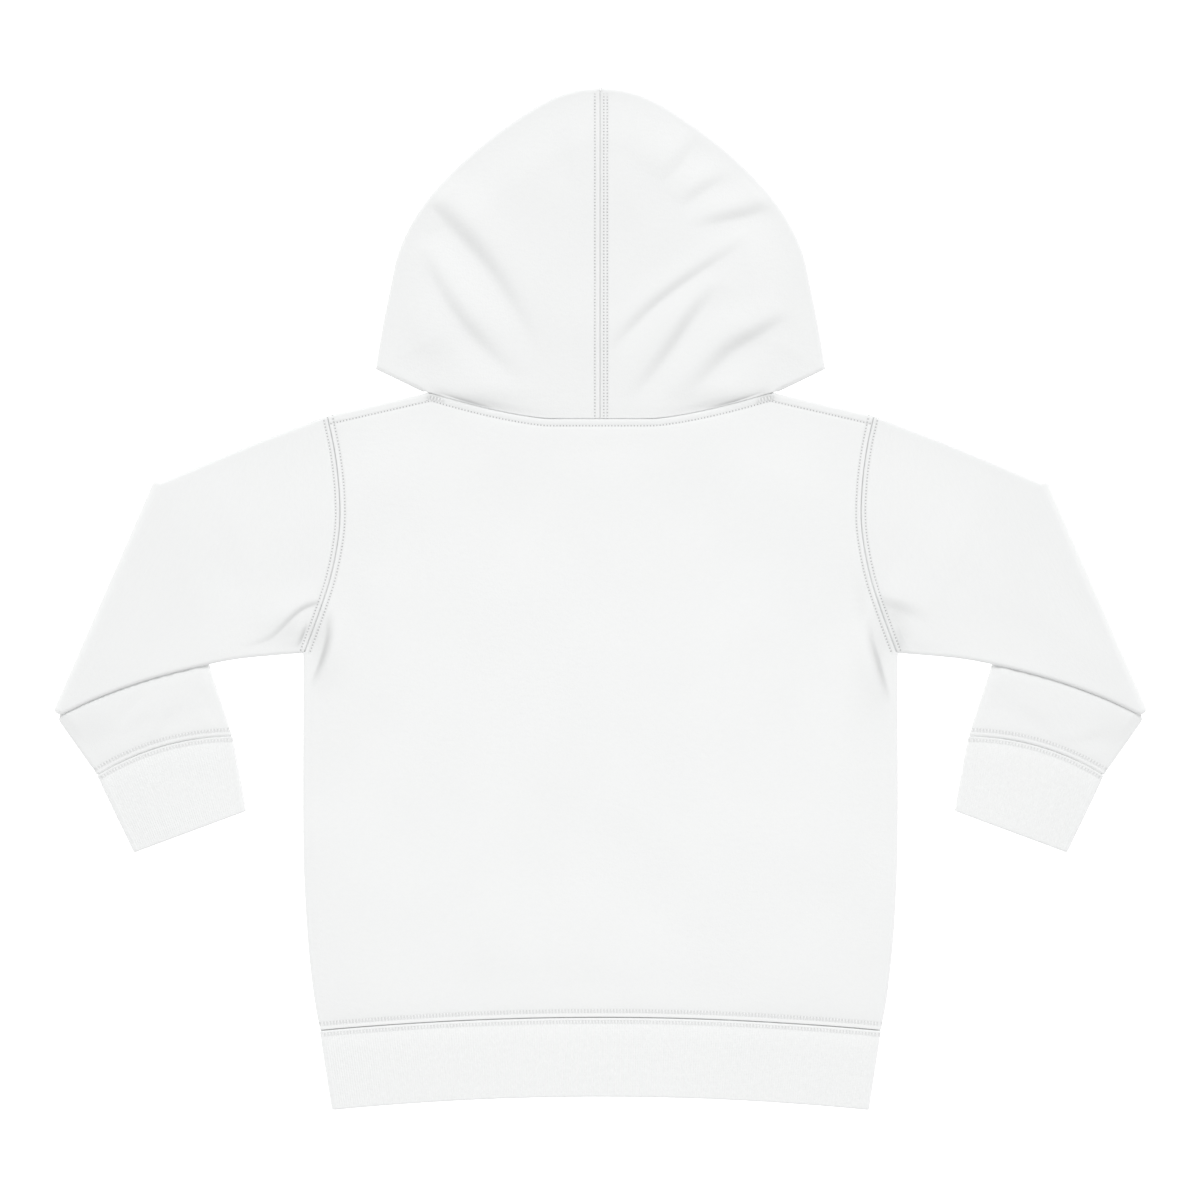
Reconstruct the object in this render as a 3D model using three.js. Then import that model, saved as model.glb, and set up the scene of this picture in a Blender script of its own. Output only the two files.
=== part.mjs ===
// A toddler's pullover hoodie in white sweatshirt fleece, laid out face down with its back up.
// It lies on the plane z = 0. +Y runs from the hem to the top of the hood, +X to the wearer's right,
// and the origin is the middle of its outline, on the plane it lies on. All sizes are in millimetres.
//
// Each piece is one wall of cloth. Its shape is given by the points through the middle of the cloth,
// and the wall is laid half to each side of them. The back layer of the whole garment is one smooth
// height over the outline, so neighbouring pieces meet at the same height along their seams.
// Each sleeve is a flattened tube that is folded under, so the forearm and cuff lie on the plane
// and the end of the upper arm lies on top of them.
import * as THREE from "three";

// Cloth and seams.
const FLEECE = 2.0;
const RIB = 2.4; // the cuffs' and waistband's rib, doubled
const EDGE_AIR = 0.6; // between the two layers beside a folded edge
const SEAM_GAP = 0.3; // between two pieces that are sewn together
const FOLD_AIR = 0.4; // between the two halves of a folded sleeve

// How far the back layer stands off the front layer away from the edges.
const BODY_LOFT = 2.4;
const BODY_LOFT_REACH = 60;
const HOOD_PUFF = 3.6;
const HOOD_PUFF_REACH = 45;
const NECK_ROLL_REACH = 26; // the hood rises to its full puff this far above the neck seam
const FOREARM_LOFT = 1.4;
const CUFF_LOFT = 0.8;

// Body, measured through the middle of the cloth.
const NECK_SIDE = { x: 98, y: 118 };
const SHOULDER_TIP = { x: 157, y: 104.5 };
const UNDERARM = { x: 170, y: -30 };
const HEM_SIDE = { x: 160.3, y: -248 };
const HEM_ARCH = 7.6; // the hem seam is this much higher in the middle
const BACK_NECK_DROP = 14.8;
const BACK_NECK_FLAT = 0.34; // share of the half neck that runs level
const BACK_NECK_RISE = 1.25;
const FRONT_NECK_DROP = 49;
const FRONT_NECK_RISE = 2.1;
const NECK_STEPS = { back: 7, front: 6 }; // straight steps that each half of the neck seam is made of
const SIDE_SEAM = [
  { y: UNDERARM.y, half: UNDERARM.x },
  { y: -144, half: 170 },
  { y: -173, half: 168.9 },
  { y: -202, half: 166.9 },
  { y: -231, half: 163.5 },
  { y: HEM_SIDE.y, half: HEM_SIDE.x },
];
const ARMHOLE = [
  { x: SHOULDER_TIP.x, y: SHOULDER_TIP.y },
  { x: 152.9, y: 85 },
  { x: 150.3, y: 64 },
  { x: 149.8, y: 44 },
  { x: 151.9, y: 27 },
  { x: 155.5, y: 11 },
  { x: 160.3, y: -4 },
  { x: 165.4, y: -18 },
  { x: UNDERARM.x, y: UNDERARM.y },
];

// Waistband.
const BAND_END_HALF = 153.2;
const BAND_HEIGHT = 45.3;

// Hood: the folded edge from the neck to the crown, and the edge of the face opening, which is underneath.
const HOOD_CORNER = { x: 128.2, y: 132.6 };
const CROWN_Y = 292.8;
const HOOD_EDGE = [
  { x: HOOD_CORNER.x, y: HOOD_CORNER.y },
  { x: 124.6, y: 154.7 },
  { x: 120, y: 177.7 },
  { x: 114.6, y: 200.7 },
  { x: 103.1, y: 223 },
  { x: 83.3, y: 246 },
  { x: 56.4, y: 268.8 },
  { x: 28, y: 286 },
  { x: 0, y: CROWN_Y },
];
const RIM = [
  { x: 0, y: NECK_SIDE.y - FRONT_NECK_DROP },
  { x: 21, y: 94 },
  { x: 42, y: 122 },
  { x: 57, y: 155 },
  { x: 63, y: 188 },
  { x: 60, y: 218 },
  { x: 46, y: 246 },
  { x: 25, y: 264 },
  { x: 0, y: 271 },
];

// Sleeve: the top edge, the fold line's ends, the underarm edge, and the forearm that lies beneath.
const FOLD_TOP = { x: 252.3, y: 65.6 };
const FOLD_UNDER = { x: 309.5, y: -65.5 };
const SLEEVE_TOP = [SHOULDER_TIP, { x: 205, y: 86 }, FOLD_TOP];
const SLEEVE_UNDER = [
  UNDERARM,
  { x: 207.3, y: -33.4 },
  { x: 225.8, y: -36.8 },
  { x: 260.8, y: -45.8 },
  { x: 289.5, y: -56.2 },
  FOLD_UNDER,
];
const INNER_ELBOW = { x: 225.8, y: -37.7 }; // where the forearm's inner edge comes out from under the sleeve
const CUFF_SEAM_INNER = { x: 212.4, y: -78.6 };
const CUFF_SEAM_OUTER = { x: 288.4, y: -100.6 };
const CUFF_SEAM_BOW = 6.5;
const CUFF_END_INNER = { x: 204.4, y: -122.2 };
const CUFF_END_OUTER = { x: 266.9, y: -145.4 };
const LIFT_REACH = 45; // the upper sleeve climbs onto the forearm over this distance

// Grids: how many steps each piece is made of.
const BODY_COLUMNS = { neck: 2 * NECK_STEPS.back, shoulder: 5 };
const BACK_ROWS = { side: 11, armhole: 9 };
const FRONT_COLUMNS = { neck: 2 * NECK_STEPS.front, shoulder: 3 };
const FRONT_ROWS = { side: 4, armhole: 9 };
const TUBE_ACROSS = 10;
const UPPER_ARM_STEPS = 8;
const FOREARM_STEPS = 5;
const CUFF_STEPS = 4;
const BAND_ACROSS = 22;
const BAND_STEPS = 3;
const HOOD_ROWS = 20;
const HOOD_ACROSS = { back: 12, under: NECK_STEPS.front };
const FOLD_TURN = [45, 0, -45, -90]; // degrees, as the folded sleeve turns from above to beneath
const HOOD_TURN = [["back", 45], ["edge", 0], ["front", -45]]; // degrees, as the hood's edge turns under

// Soft folds of the back layer. Each runs from start past middle to end, and width is half of what it
// covers. A trough has a negative height and a ridge a positive one. All but the last four are on the hood.
const FOLDS = [
  { name: "left long", start: [-98, 227], middle: [-66, 198], end: [-33, 142], height: -2.4, width: 8 },
  { name: "left low", start: [-99, 196], middle: [-78, 158], end: [-46, 128], height: -2.1, width: 7.5 },
  { name: "left swell", start: [-92, 208], middle: [-70, 172], end: [-45, 140], height: 1.3, width: 9 },
  { name: "right high", start: [51, 266], middle: [44, 254], end: [36, 242], height: -0.9, width: 7 },
  { name: "right second", start: [74, 245], middle: [60, 238], end: [47, 228], height: -1.3, width: 6 },
  { name: "right third", start: [99, 223], middle: [79, 222.5], end: [58, 218], height: -1.7, width: 5.5 },
  { name: "right long", start: [90, 212], middle: [52, 187], end: [15, 157], height: -2.2, width: 6.5 },
  { name: "right middle", start: [63, 180], middle: [44, 156], end: [21, 124], height: -2.3, width: 7 },
  { name: "right low", start: [104, 165], middle: [76, 146], end: [48, 120], height: -2.4, width: 7.5 },
  { name: "right swell", start: [74, 184], middle: [56, 160], end: [36, 130], height: 1.2, width: 7 },
  { name: "left side", start: [-153, 0], middle: [-151, -24], end: [-164, -52], height: -1.3, width: 4.5 },
  { name: "left armpit", start: [-161, -1], middle: [-178, -12], end: [-201, -25], height: 1.6, width: 6.5 },
  { name: "right side", start: [154, -16], middle: [159.5, -34], end: [166, -58], height: -1.2, width: 4 },
  { name: "right armpit", start: [161, 0], middle: [173, -4], end: [190, -12], height: 1.4, width: 7 },
];

// Which way the outside faces at the corners where several pieces end together.
const NECK_SIDE_FACING = { back: [0.96, 0.28], edge: [0.86, 0.51], front: [0.72, 0.69] };
const SHOULDER_FACING = [0.23, 0.97];
const UNDERARM_FACING = [0.5, -0.87];

// Small helpers for heights and distances.
const smooth = (value, from, to) => THREE.MathUtils.smoothstep(value, from, to);
const mix = THREE.MathUtils.lerp;
const between = (a, b, share) => ({ x: mix(a.x, b.x, share), y: mix(a.y, b.y, share) });

function span(from, to, steps) {
  return Array.from({ length: steps + 1 }, (_, i) => mix(from, to, i / steps));
}

// The share of the way from a to b that is nearest to a point.
function nearestShare(x, y, a, b) {
  const along = (x - a.x) * (b.x - a.x) + (y - a.y) * (b.y - a.y);
  return THREE.MathUtils.clamp(along / ((b.x - a.x) ** 2 + (b.y - a.y) ** 2), 0, 1);
}

function distanceToSegment(x, y, a, b) {
  const nearest = between(a, b, nearestShare(x, y, a, b));
  return Math.hypot(x - nearest.x, y - nearest.y);
}

function distanceToLine(x, y, line) {
  return Math.min(...line.slice(1).map((end, i) => distanceToSegment(x, y, line[i], end)));
}

function curveThrough(rows) {
  const points = rows.map((row) => new THREE.Vector3(row.x, row.y, 0));
  return new THREE.CatmullRomCurve3(points, false, "centripetal");
}

const armholeLine = curveThrough(ARMHOLE).getSpacedPoints(40);
const hoodEdge = curveThrough(HOOD_EDGE);
const rimEdge = curveThrough(RIM);
const underLine = curveThrough(SLEEVE_UNDER).getSpacedPoints(30);
const sideLine = SIDE_SEAM.map((row) => ({ x: row.half, y: row.y }));

// The folded edges all round the outline of the back layer, for one half of the garment.
const FOLDED_EDGES = [
  [NECK_SIDE, ...hoodEdge.getSpacedPoints(40)],
  [NECK_SIDE, ...SLEEVE_TOP],
  underLine,
  [...sideLine, { x: BAND_END_HALF, y: HEM_SIDE.y - BAND_HEIGHT }],
];

function edgeDistance(x, y) {
  return Math.min(...FOLDED_EDGES.map((line) => distanceToLine(Math.abs(x), y, line)));
}

// A stack is the two layers of a flattened tube. Half is the height of its folded edge, and turn the
// radius that the middle of the cloth takes round that edge.
function stackOf(wall) {
  return { wall, half: wall + EDGE_AIR / 2, turn: (wall + EDGE_AIR) / 2 };
}
const FLEECE_STACK = stackOf(FLEECE);
const RIB_STACK = stackOf(RIB);

// From 0 at a folded edge to 1 where the layer lies level, as a quarter circle.
function rounded(distance, radius) {
  const inside = Math.min(distance, radius) / radius;
  return Math.sqrt(1 - (1 - inside) ** 2);
}

// Height of a fold of the cloth at a point: a soft bell across it, fading at its ends.
function foldHeight(fold, x, y) {
  const path = [fold.start, fold.middle, fold.end].map(([px, py]) => ({ x: px, y: py }));
  const first = Math.hypot(path[1].x - path[0].x, path[1].y - path[0].y);
  const second = Math.hypot(path[2].x - path[1].x, path[2].y - path[1].y);
  let best = { distance: Infinity, along: 0 };
  [0, 1].forEach((i) => {
    const [a, b] = [path[i], path[i + 1]];
    const distance = distanceToSegment(x, y, a, b);
    const along = i * first + nearestShare(x, y, a, b) * (i ? second : first);
    if (distance < best.distance) best = { distance, along };
  });
  const ends = Math.sin(Math.PI * THREE.MathUtils.clamp(best.along / (first + second), 0.06, 0.94)) ** 0.7;
  return fold.height * ends * Math.exp(-((best.distance / fold.width) ** 2));
}

// The neck seam's height up the page, on the back and on the front, at a distance from the middle.
function neckCurve(share, layer) {
  if (layer === "front") return NECK_SIDE.y - FRONT_NECK_DROP * (1 - share ** FRONT_NECK_RISE);
  const rise = Math.max(0, (share - BACK_NECK_FLAT) / (1 - BACK_NECK_FLAT)) ** BACK_NECK_RISE;
  return NECK_SIDE.y - BACK_NECK_DROP * (1 - rise);
}

function neckLine(x, layer) {
  const steps = NECK_STEPS[layer];
  const at = Math.min(Math.abs(x) / NECK_SIDE.x, 1) * steps;
  const before = Math.min(Math.floor(at), steps - 1);
  return mix(neckCurve(before / steps, layer), neckCurve((before + 1) / steps, layer), at - before);
}

// How high the upper sleeve is lifted by the forearm folded beneath it.
const foldAcross = new THREE.Vector2(FOLD_TOP.y - INNER_ELBOW.y, INNER_ELBOW.x - FOLD_TOP.x).normalize();
function sleeveLift(x, y) {
  const below = Math.max(y, INNER_ELBOW.y) - FOLD_TOP.y;
  const past = (Math.abs(x) - FOLD_TOP.x) * foldAcross.x + below * foldAcross.y;
  return (2 * FLEECE_STACK.half + FOLD_AIR) * smooth(past, -LIFT_REACH, 0);
}

// Heights of the middle of the cloth above the plane, for the back layer and for the front layer.
function backHeight(x, y, seam = 0) {
  const distance = edgeDistance(x, y);
  const { half, turn } = FLEECE_STACK;
  const loft = BODY_LOFT * smooth(distance, 0, BODY_LOFT_REACH) * (1 - smooth(sleeveLift(x, y), 0, half));
  const aboveNeck = y - neckLine(x, "back");
  const puff = HOOD_PUFF * smooth(distance, 0, HOOD_PUFF_REACH) * smooth(aboveNeck, 0, NECK_ROLL_REACH);
  const folds = FOLDS.reduce((sum, fold) => sum + foldHeight(fold, x, y), 0) * smooth(distance, 0, 8);
  const spare = Math.max(loft + puff + folds, SEAM_GAP - EDGE_AIR);
  return sleeveLift(x, y) + half + seam + (turn - seam) * rounded(distance, turn) + spare;
}

function frontHeight(x, y, seam = 0) {
  const { half, turn } = FLEECE_STACK;
  return sleeveLift(x, y) + half - seam - (turn - seam) * rounded(edgeDistance(x, y), turn);
}

// A closed wall of cloth round a grid of middle points. Where closed is true the columns run all the way
// round a tube. Its outside faces the way that a left turn from the columns to the rows gives, or the
// other way where mirrored is true. A point's own facing, where it has one, comes before both.
function clothWall(grid, wall, { closed = false, mirrored = false } = {}) {
  const rows = grid.length;
  const columns = grid[0].length;
  const column = (j) => (closed ? (j + columns) % columns : THREE.MathUtils.clamp(j, 0, columns - 1));
  const row = (i) => THREE.MathUtils.clamp(i, 0, rows - 1);
  const step = (a, b) => new THREE.Vector3().subVectors(b, a).normalize();
  const outer = [];
  const inner = [];
  for (let i = 0; i < rows; i++) {
    for (let j = 0; j < columns; j++) {
      const here = grid[i][j];
      const acrossWay = step(grid[i][column(j - 1)], here).add(step(here, grid[i][column(j + 1)]));
      const upWay = step(grid[row(i - 1)][j], here).add(step(here, grid[row(i + 1)][j]));
      const out = here.facing ? here.facing.clone() : acrossWay.cross(upWay).normalize();
      if (mirrored && !here.facing) out.negate();
      outer.push(here.clone().addScaledVector(out, wall / 2));
      inner.push(here.clone().addScaledVector(out, -wall / 2));
    }
  }
  const points = [...outer, ...inner];
  const back = outer.length;
  const at = (i, j) => i * columns + column(j);
  const triangles = [];
  const face = (a, b, c) => {
    const thin = [[a, b], [b, c], [c, a]].some(([p, q]) => points[p].distanceTo(points[q]) < 1e-3);
    if (!thin) triangles.push(...(mirrored ? [a, c, b] : [a, b, c]));
  };
  const quad = (a, b, c, d) => {
    face(a, b, c);
    face(a, c, d);
  };
  const last = closed ? columns : columns - 1;
  for (let i = 0; i < rows - 1; i++) {
    for (let j = 0; j < last; j++) {
      quad(at(i, j), at(i, j + 1), at(i + 1, j + 1), at(i + 1, j));
      quad(back + at(i, j), back + at(i + 1, j), back + at(i + 1, j + 1), back + at(i, j + 1));
    }
  }
  for (let j = 0; j < last; j++) {
    quad(at(0, j + 1), at(0, j), back + at(0, j), back + at(0, j + 1));
    quad(at(rows - 1, j), at(rows - 1, j + 1), back + at(rows - 1, j + 1), back + at(rows - 1, j));
  }
  if (!closed) {
    for (let i = 0; i < rows - 1; i++) {
      quad(at(i, 0), at(i + 1, 0), back + at(i + 1, 0), back + at(i, 0));
      quad(at(i + 1, last), at(i, last), back + at(i, last), back + at(i + 1, last));
    }
  }
  const geometry = new THREE.BufferGeometry().setFromPoints(points);
  geometry.setIndex(triangles);
  geometry.computeVertexNormals();
  return geometry;
}

// Distances from a folded edge at which the quarter turn is stepped.
const turnSteps = (turn) => [0, 0.29 * turn, turn];

// Shares from one folded edge to the other, close together where the cloth turns.
function sharesAcross(length, turn, steps) {
  const ends = turnSteps(turn).map((distance) => distance / length);
  const middle = span(ends[2], 1 - ends[2], steps);
  return [ends[0], ends[1], ...middle, 1 - ends[1], 1];
}

// The body's outline up one side: half its width at a height of the side seam or armhole.
const outlineUp = [...[...sideLine].reverse(), ...[...armholeLine].reverse().slice(1)];
function halfWidth(y) {
  for (let i = 1; i < outlineUp.length; i++) {
    const [a, b] = [outlineUp[i - 1], outlineUp[i]];
    if (y <= b.y) return mix(a.x, b.x, (y - a.y) / (b.y - a.y));
  }
  return SHOULDER_TIP.x;
}

function shoulderLine(x) {
  const share = (Math.abs(x) - NECK_SIDE.x) / (SHOULDER_TIP.x - NECK_SIDE.x);
  return mix(NECK_SIDE.y, SHOULDER_TIP.y, share);
}

const hemLine = (x) => HEM_SIDE.y + HEM_ARCH * (1 - (x / HEM_SIDE.x) ** 2);

// Which way the cloth's outside faces at a distance from a folded edge, where up is 1 above and -1 below.
function facingRound([x, y], side, distance, up) {
  const { turn } = FLEECE_STACK;
  const level = 1 - Math.min(distance, turn) / turn;
  return new THREE.Vector3(side * x * level, y * level, up * rounded(distance, turn)).normalize();
}

// The back or front of the body: rows from the hem seam to the neck, columns from side to side.
function bodyPanel(layer, columnSteps, rowSteps) {
  const seam = SEAM_GAP / 2;
  const ends = turnSteps(FLEECE_STACK.turn);
  const neckShare = NECK_SIDE.x / SHOULDER_TIP.x;
  const edgeShares = ends.map((distance) => 1 - distance / UNDERARM.x);
  const level = span(neckShare, edgeShares[2], columnSteps.shoulder).slice(1);
  const shoulder = [...level, edgeShares[1], edgeShares[0]];
  const neck = span(-neckShare, neckShare, columnSteps.neck);
  const columns = [...shoulder.map((s) => -s).reverse(), ...neck, ...shoulder];
  const height = SHOULDER_TIP.y - HEM_SIDE.y;
  const armShare = (UNDERARM.y - HEM_SIDE.y) / height;
  const turned = ends[2] / height;
  const rows = [
    ...span(0, armShare, rowSteps.side),
    armShare + ends[1] / height,
    ...span(armShare + turned, 1 - turned, rowSteps.armhole),
    1 - ends[1] / height,
    1,
  ];
  const grid = rows.map((up) => {
    const half = halfWidth(HEM_SIDE.y + up * height) - (up > armShare ? seam : 0);
    return columns.map((share) => {
      const x = share * half;
      const topX = share * SHOULDER_TIP.x;
      const isNeck = Math.abs(share) <= neckShare + 1e-6;
      const top = isNeck ? neckLine(topX, layer) - seam : shoulderLine(topX);
      const y = mix(hemLine(share * HEM_SIDE.x) + seam, top, up);
      const z = layer === "back" ? backHeight(x, y, seam) : frontHeight(x, y, seam);
      const point = new THREE.Vector3(x, y, z);
      const distance = edgeDistance(x, y);
      if (distance < FLEECE_STACK.turn) {
        let direction = isNeck ? NECK_SIDE_FACING[layer] : SHOULDER_FACING;
        if (up < 0.9) direction = up < armShare - 1e-6 ? [1, 0] : UNDERARM_FACING;
        point.facing = facingRound(direction, Math.sign(share), distance, layer === "back" ? 1 : -1);
      }
      return point;
    });
  });
  return clothWall(grid, FLEECE, { mirrored: layer === "front" });
}

// A flattened tube from a list of stations. Each station gives a plan line from its first edge to its
// second, and places a point of the upper or lower layer.
function tubeWall(stations, wall, mirrored) {
  const grid = stations.map((station) => {
    const upper = station.shares.map((share) => station.place(share, "upper"));
    const lower = station.shares.slice(1, -1).reverse().map((share) => station.place(share, "lower"));
    return [...upper, ...lower];
  });
  return clothWall(grid, wall, { closed: true, mirrored });
}

function pointAlong(line, share) {
  const lengths = line.slice(1).map((p, i) => Math.hypot(p.x - line[i].x, p.y - line[i].y));
  let left = share * lengths.reduce((a, b) => a + b, 0);
  for (let i = 0; i < lengths.length; i++) {
    if (left <= lengths[i]) return between(line[i], line[i + 1], left / lengths[i]);
    left -= lengths[i];
  }
  return line[line.length - 1];
}

// How far the armhole's curve stands off its own chord at a share from shoulder tip to underarm.
function armholeBow(share) {
  const on = pointAlong(armholeLine, share);
  const chord = between(SHOULDER_TIP, UNDERARM, share);
  return { x: on.x - chord.x, y: on.y - chord.y };
}

// One sleeve, for side 1 on the wearer's right and -1 on the left.
function sleeve(side) {
  const { half, turn, wall } = FLEECE_STACK;
  const pivotHeight = 2 * half + FOLD_AIR / 2;
  const foldLength = Math.hypot(FOLD_UNDER.x - FOLD_TOP.x, FOLD_UNDER.y - FOLD_TOP.y);
  const outward = new THREE.Vector2(FOLD_TOP.y - FOLD_UNDER.y, FOLD_UNDER.x - FOLD_TOP.x).normalize();
  const endDistance = (share, length) => Math.min(share, 1 - share) * length;
  const upperArm = span(0, 1, UPPER_ARM_STEPS).map((along) => {
    const top = pointAlong(SLEEVE_TOP, along);
    const under = pointAlong(underLine, along);
    const length = Math.hypot(top.x - under.x, top.y - under.y);
    const bowed = 1 - smooth(along, 0, 0.45);
    return {
      shares: sharesAcross(length, turn, TUBE_ACROSS),
      place: (share, layer) => {
        const bow = armholeBow(share);
        const chord = between(top, under, share);
        const x = chord.x + bow.x * bowed + (1 - along) * SEAM_GAP;
        const y = chord.y + bow.y * bowed;
        const z = layer === "upper" ? backHeight(side * x, y) : frontHeight(side * x, y);
        const point = new THREE.Vector3(side * x, y, z);
        const distance = edgeDistance(x, y);
        if (along === 0 && distance < turn) {
          const direction = share < 0.5 ? SHOULDER_FACING : UNDERARM_FACING;
          point.facing = facingRound(direction, side, distance, layer === "upper" ? 1 : -1);
        }
        return point;
      },
    };
  });
  const foldShares = sharesAcross(foldLength, turn, TUBE_ACROSS);
  const fold = FOLD_TURN.map((degrees) => ({
    shares: foldShares,
    place: (share, layer) => {
      const on = between(FOLD_TOP, FOLD_UNDER, share);
      const stand = turn * rounded(endDistance(share, foldLength), turn) * (layer === "upper" ? 1 : -1);
      const radius = FOLD_AIR / 2 + half + stand;
      const angle = THREE.MathUtils.degToRad(degrees);
      return new THREE.Vector3(
        side * (on.x + outward.x * radius * Math.cos(angle)),
        on.y + outward.y * radius * Math.cos(angle),
        pivotHeight + radius * Math.sin(angle),
      );
    },
  }));
  const innerLine = [FOLD_TOP, INNER_ELBOW, CUFF_SEAM_INNER];
  const outerLine = [FOLD_UNDER, CUFF_SEAM_OUTER];
  const forearm = span(0, 1, FOREARM_STEPS).slice(1).map((along) => {
    const inner = pointAlong(innerLine, along);
    const outer = pointAlong(outerLine, along);
    return forearmStation(side, inner, outer, along ** 2 * CUFF_SEAM_BOW, FLEECE_STACK, FOREARM_LOFT);
  });
  return tubeWall([...upperArm, ...fold, ...forearm], wall, side < 0);
}

// A station of the forearm or cuff. It is turned over by the fold, so its upper layer is the one beneath.
function forearmStation(side, inner, outer, bow, stack, loftHeight, shift = 0) {
  const length = Math.hypot(outer.x - inner.x, outer.y - inner.y);
  const away = { x: (inner.y - outer.y) / length, y: (outer.x - inner.x) / length };
  return {
    shares: sharesAcross(length, stack.turn, TUBE_ACROSS),
    place: (share, layer) => {
      const on = between(inner, outer, share);
      const rise = bow * 4 * share * (1 - share) - shift;
      const x = on.x + away.x * rise;
      const y = on.y + away.y * rise;
      const distance = Math.min(share, 1 - share) * length;
      const shown = smooth(-y + underEdgeHeight(x), 2, 22);
      const loft = loftHeight * smooth(distance, 0, length / 3) * shown;
      const stand = stack.turn * rounded(distance, stack.turn);
      const z = layer === "lower" ? stack.half + stand + loft : stack.half - stand;
      return new THREE.Vector3(side * x, y, z);
    },
  };
}

// The height up the page of the upper sleeve's lower edge, which the forearm comes out from under.
function underEdgeHeight(x) {
  for (let i = 1; i < underLine.length; i++) {
    const [a, b] = [underLine[i - 1], underLine[i]];
    if (x <= b.x) return mix(a.y, b.y, (x - a.x) / (b.x - a.x));
  }
  return FOLD_UNDER.y;
}

function cuff(side) {
  const stations = span(0, 1, CUFF_STEPS).map((along) => {
    const inner = between(CUFF_SEAM_INNER, CUFF_END_INNER, along);
    const outer = between(CUFF_SEAM_OUTER, CUFF_END_OUTER, along);
    const shift = (1 - along) * SEAM_GAP * 1.5;
    return forearmStation(side, inner, outer, (1 - along) * CUFF_SEAM_BOW, RIB_STACK, CUFF_LOFT, shift);
  });
  return tubeWall(stations, RIB, side < 0);
}

function waistband() {
  const { half, turn, wall } = RIB_STACK;
  const stations = span(0, 1, BAND_STEPS).map((down) => {
    const halfBand = mix(HEM_SIDE.x, BAND_END_HALF, down);
    return {
      shares: sharesAcross(2 * halfBand, turn, BAND_ACROSS),
      place: (share, layer) => {
        const x = (2 * share - 1) * halfBand;
        const y = hemLine((2 * share - 1) * HEM_SIDE.x) - SEAM_GAP - down * BAND_HEIGHT;
        const distance = Math.min(share, 1 - share) * 2 * halfBand;
        const loft = BODY_LOFT * smooth(distance, 0, BODY_LOFT_REACH) * mix(0.75, 0.3, down);
        const stand = turn * rounded(distance, turn);
        return new THREE.Vector3(x, y, layer === "upper" ? half + stand + loft : half - stand);
      },
    };
  });
  return tubeWall(stations, wall, true);
}

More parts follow.
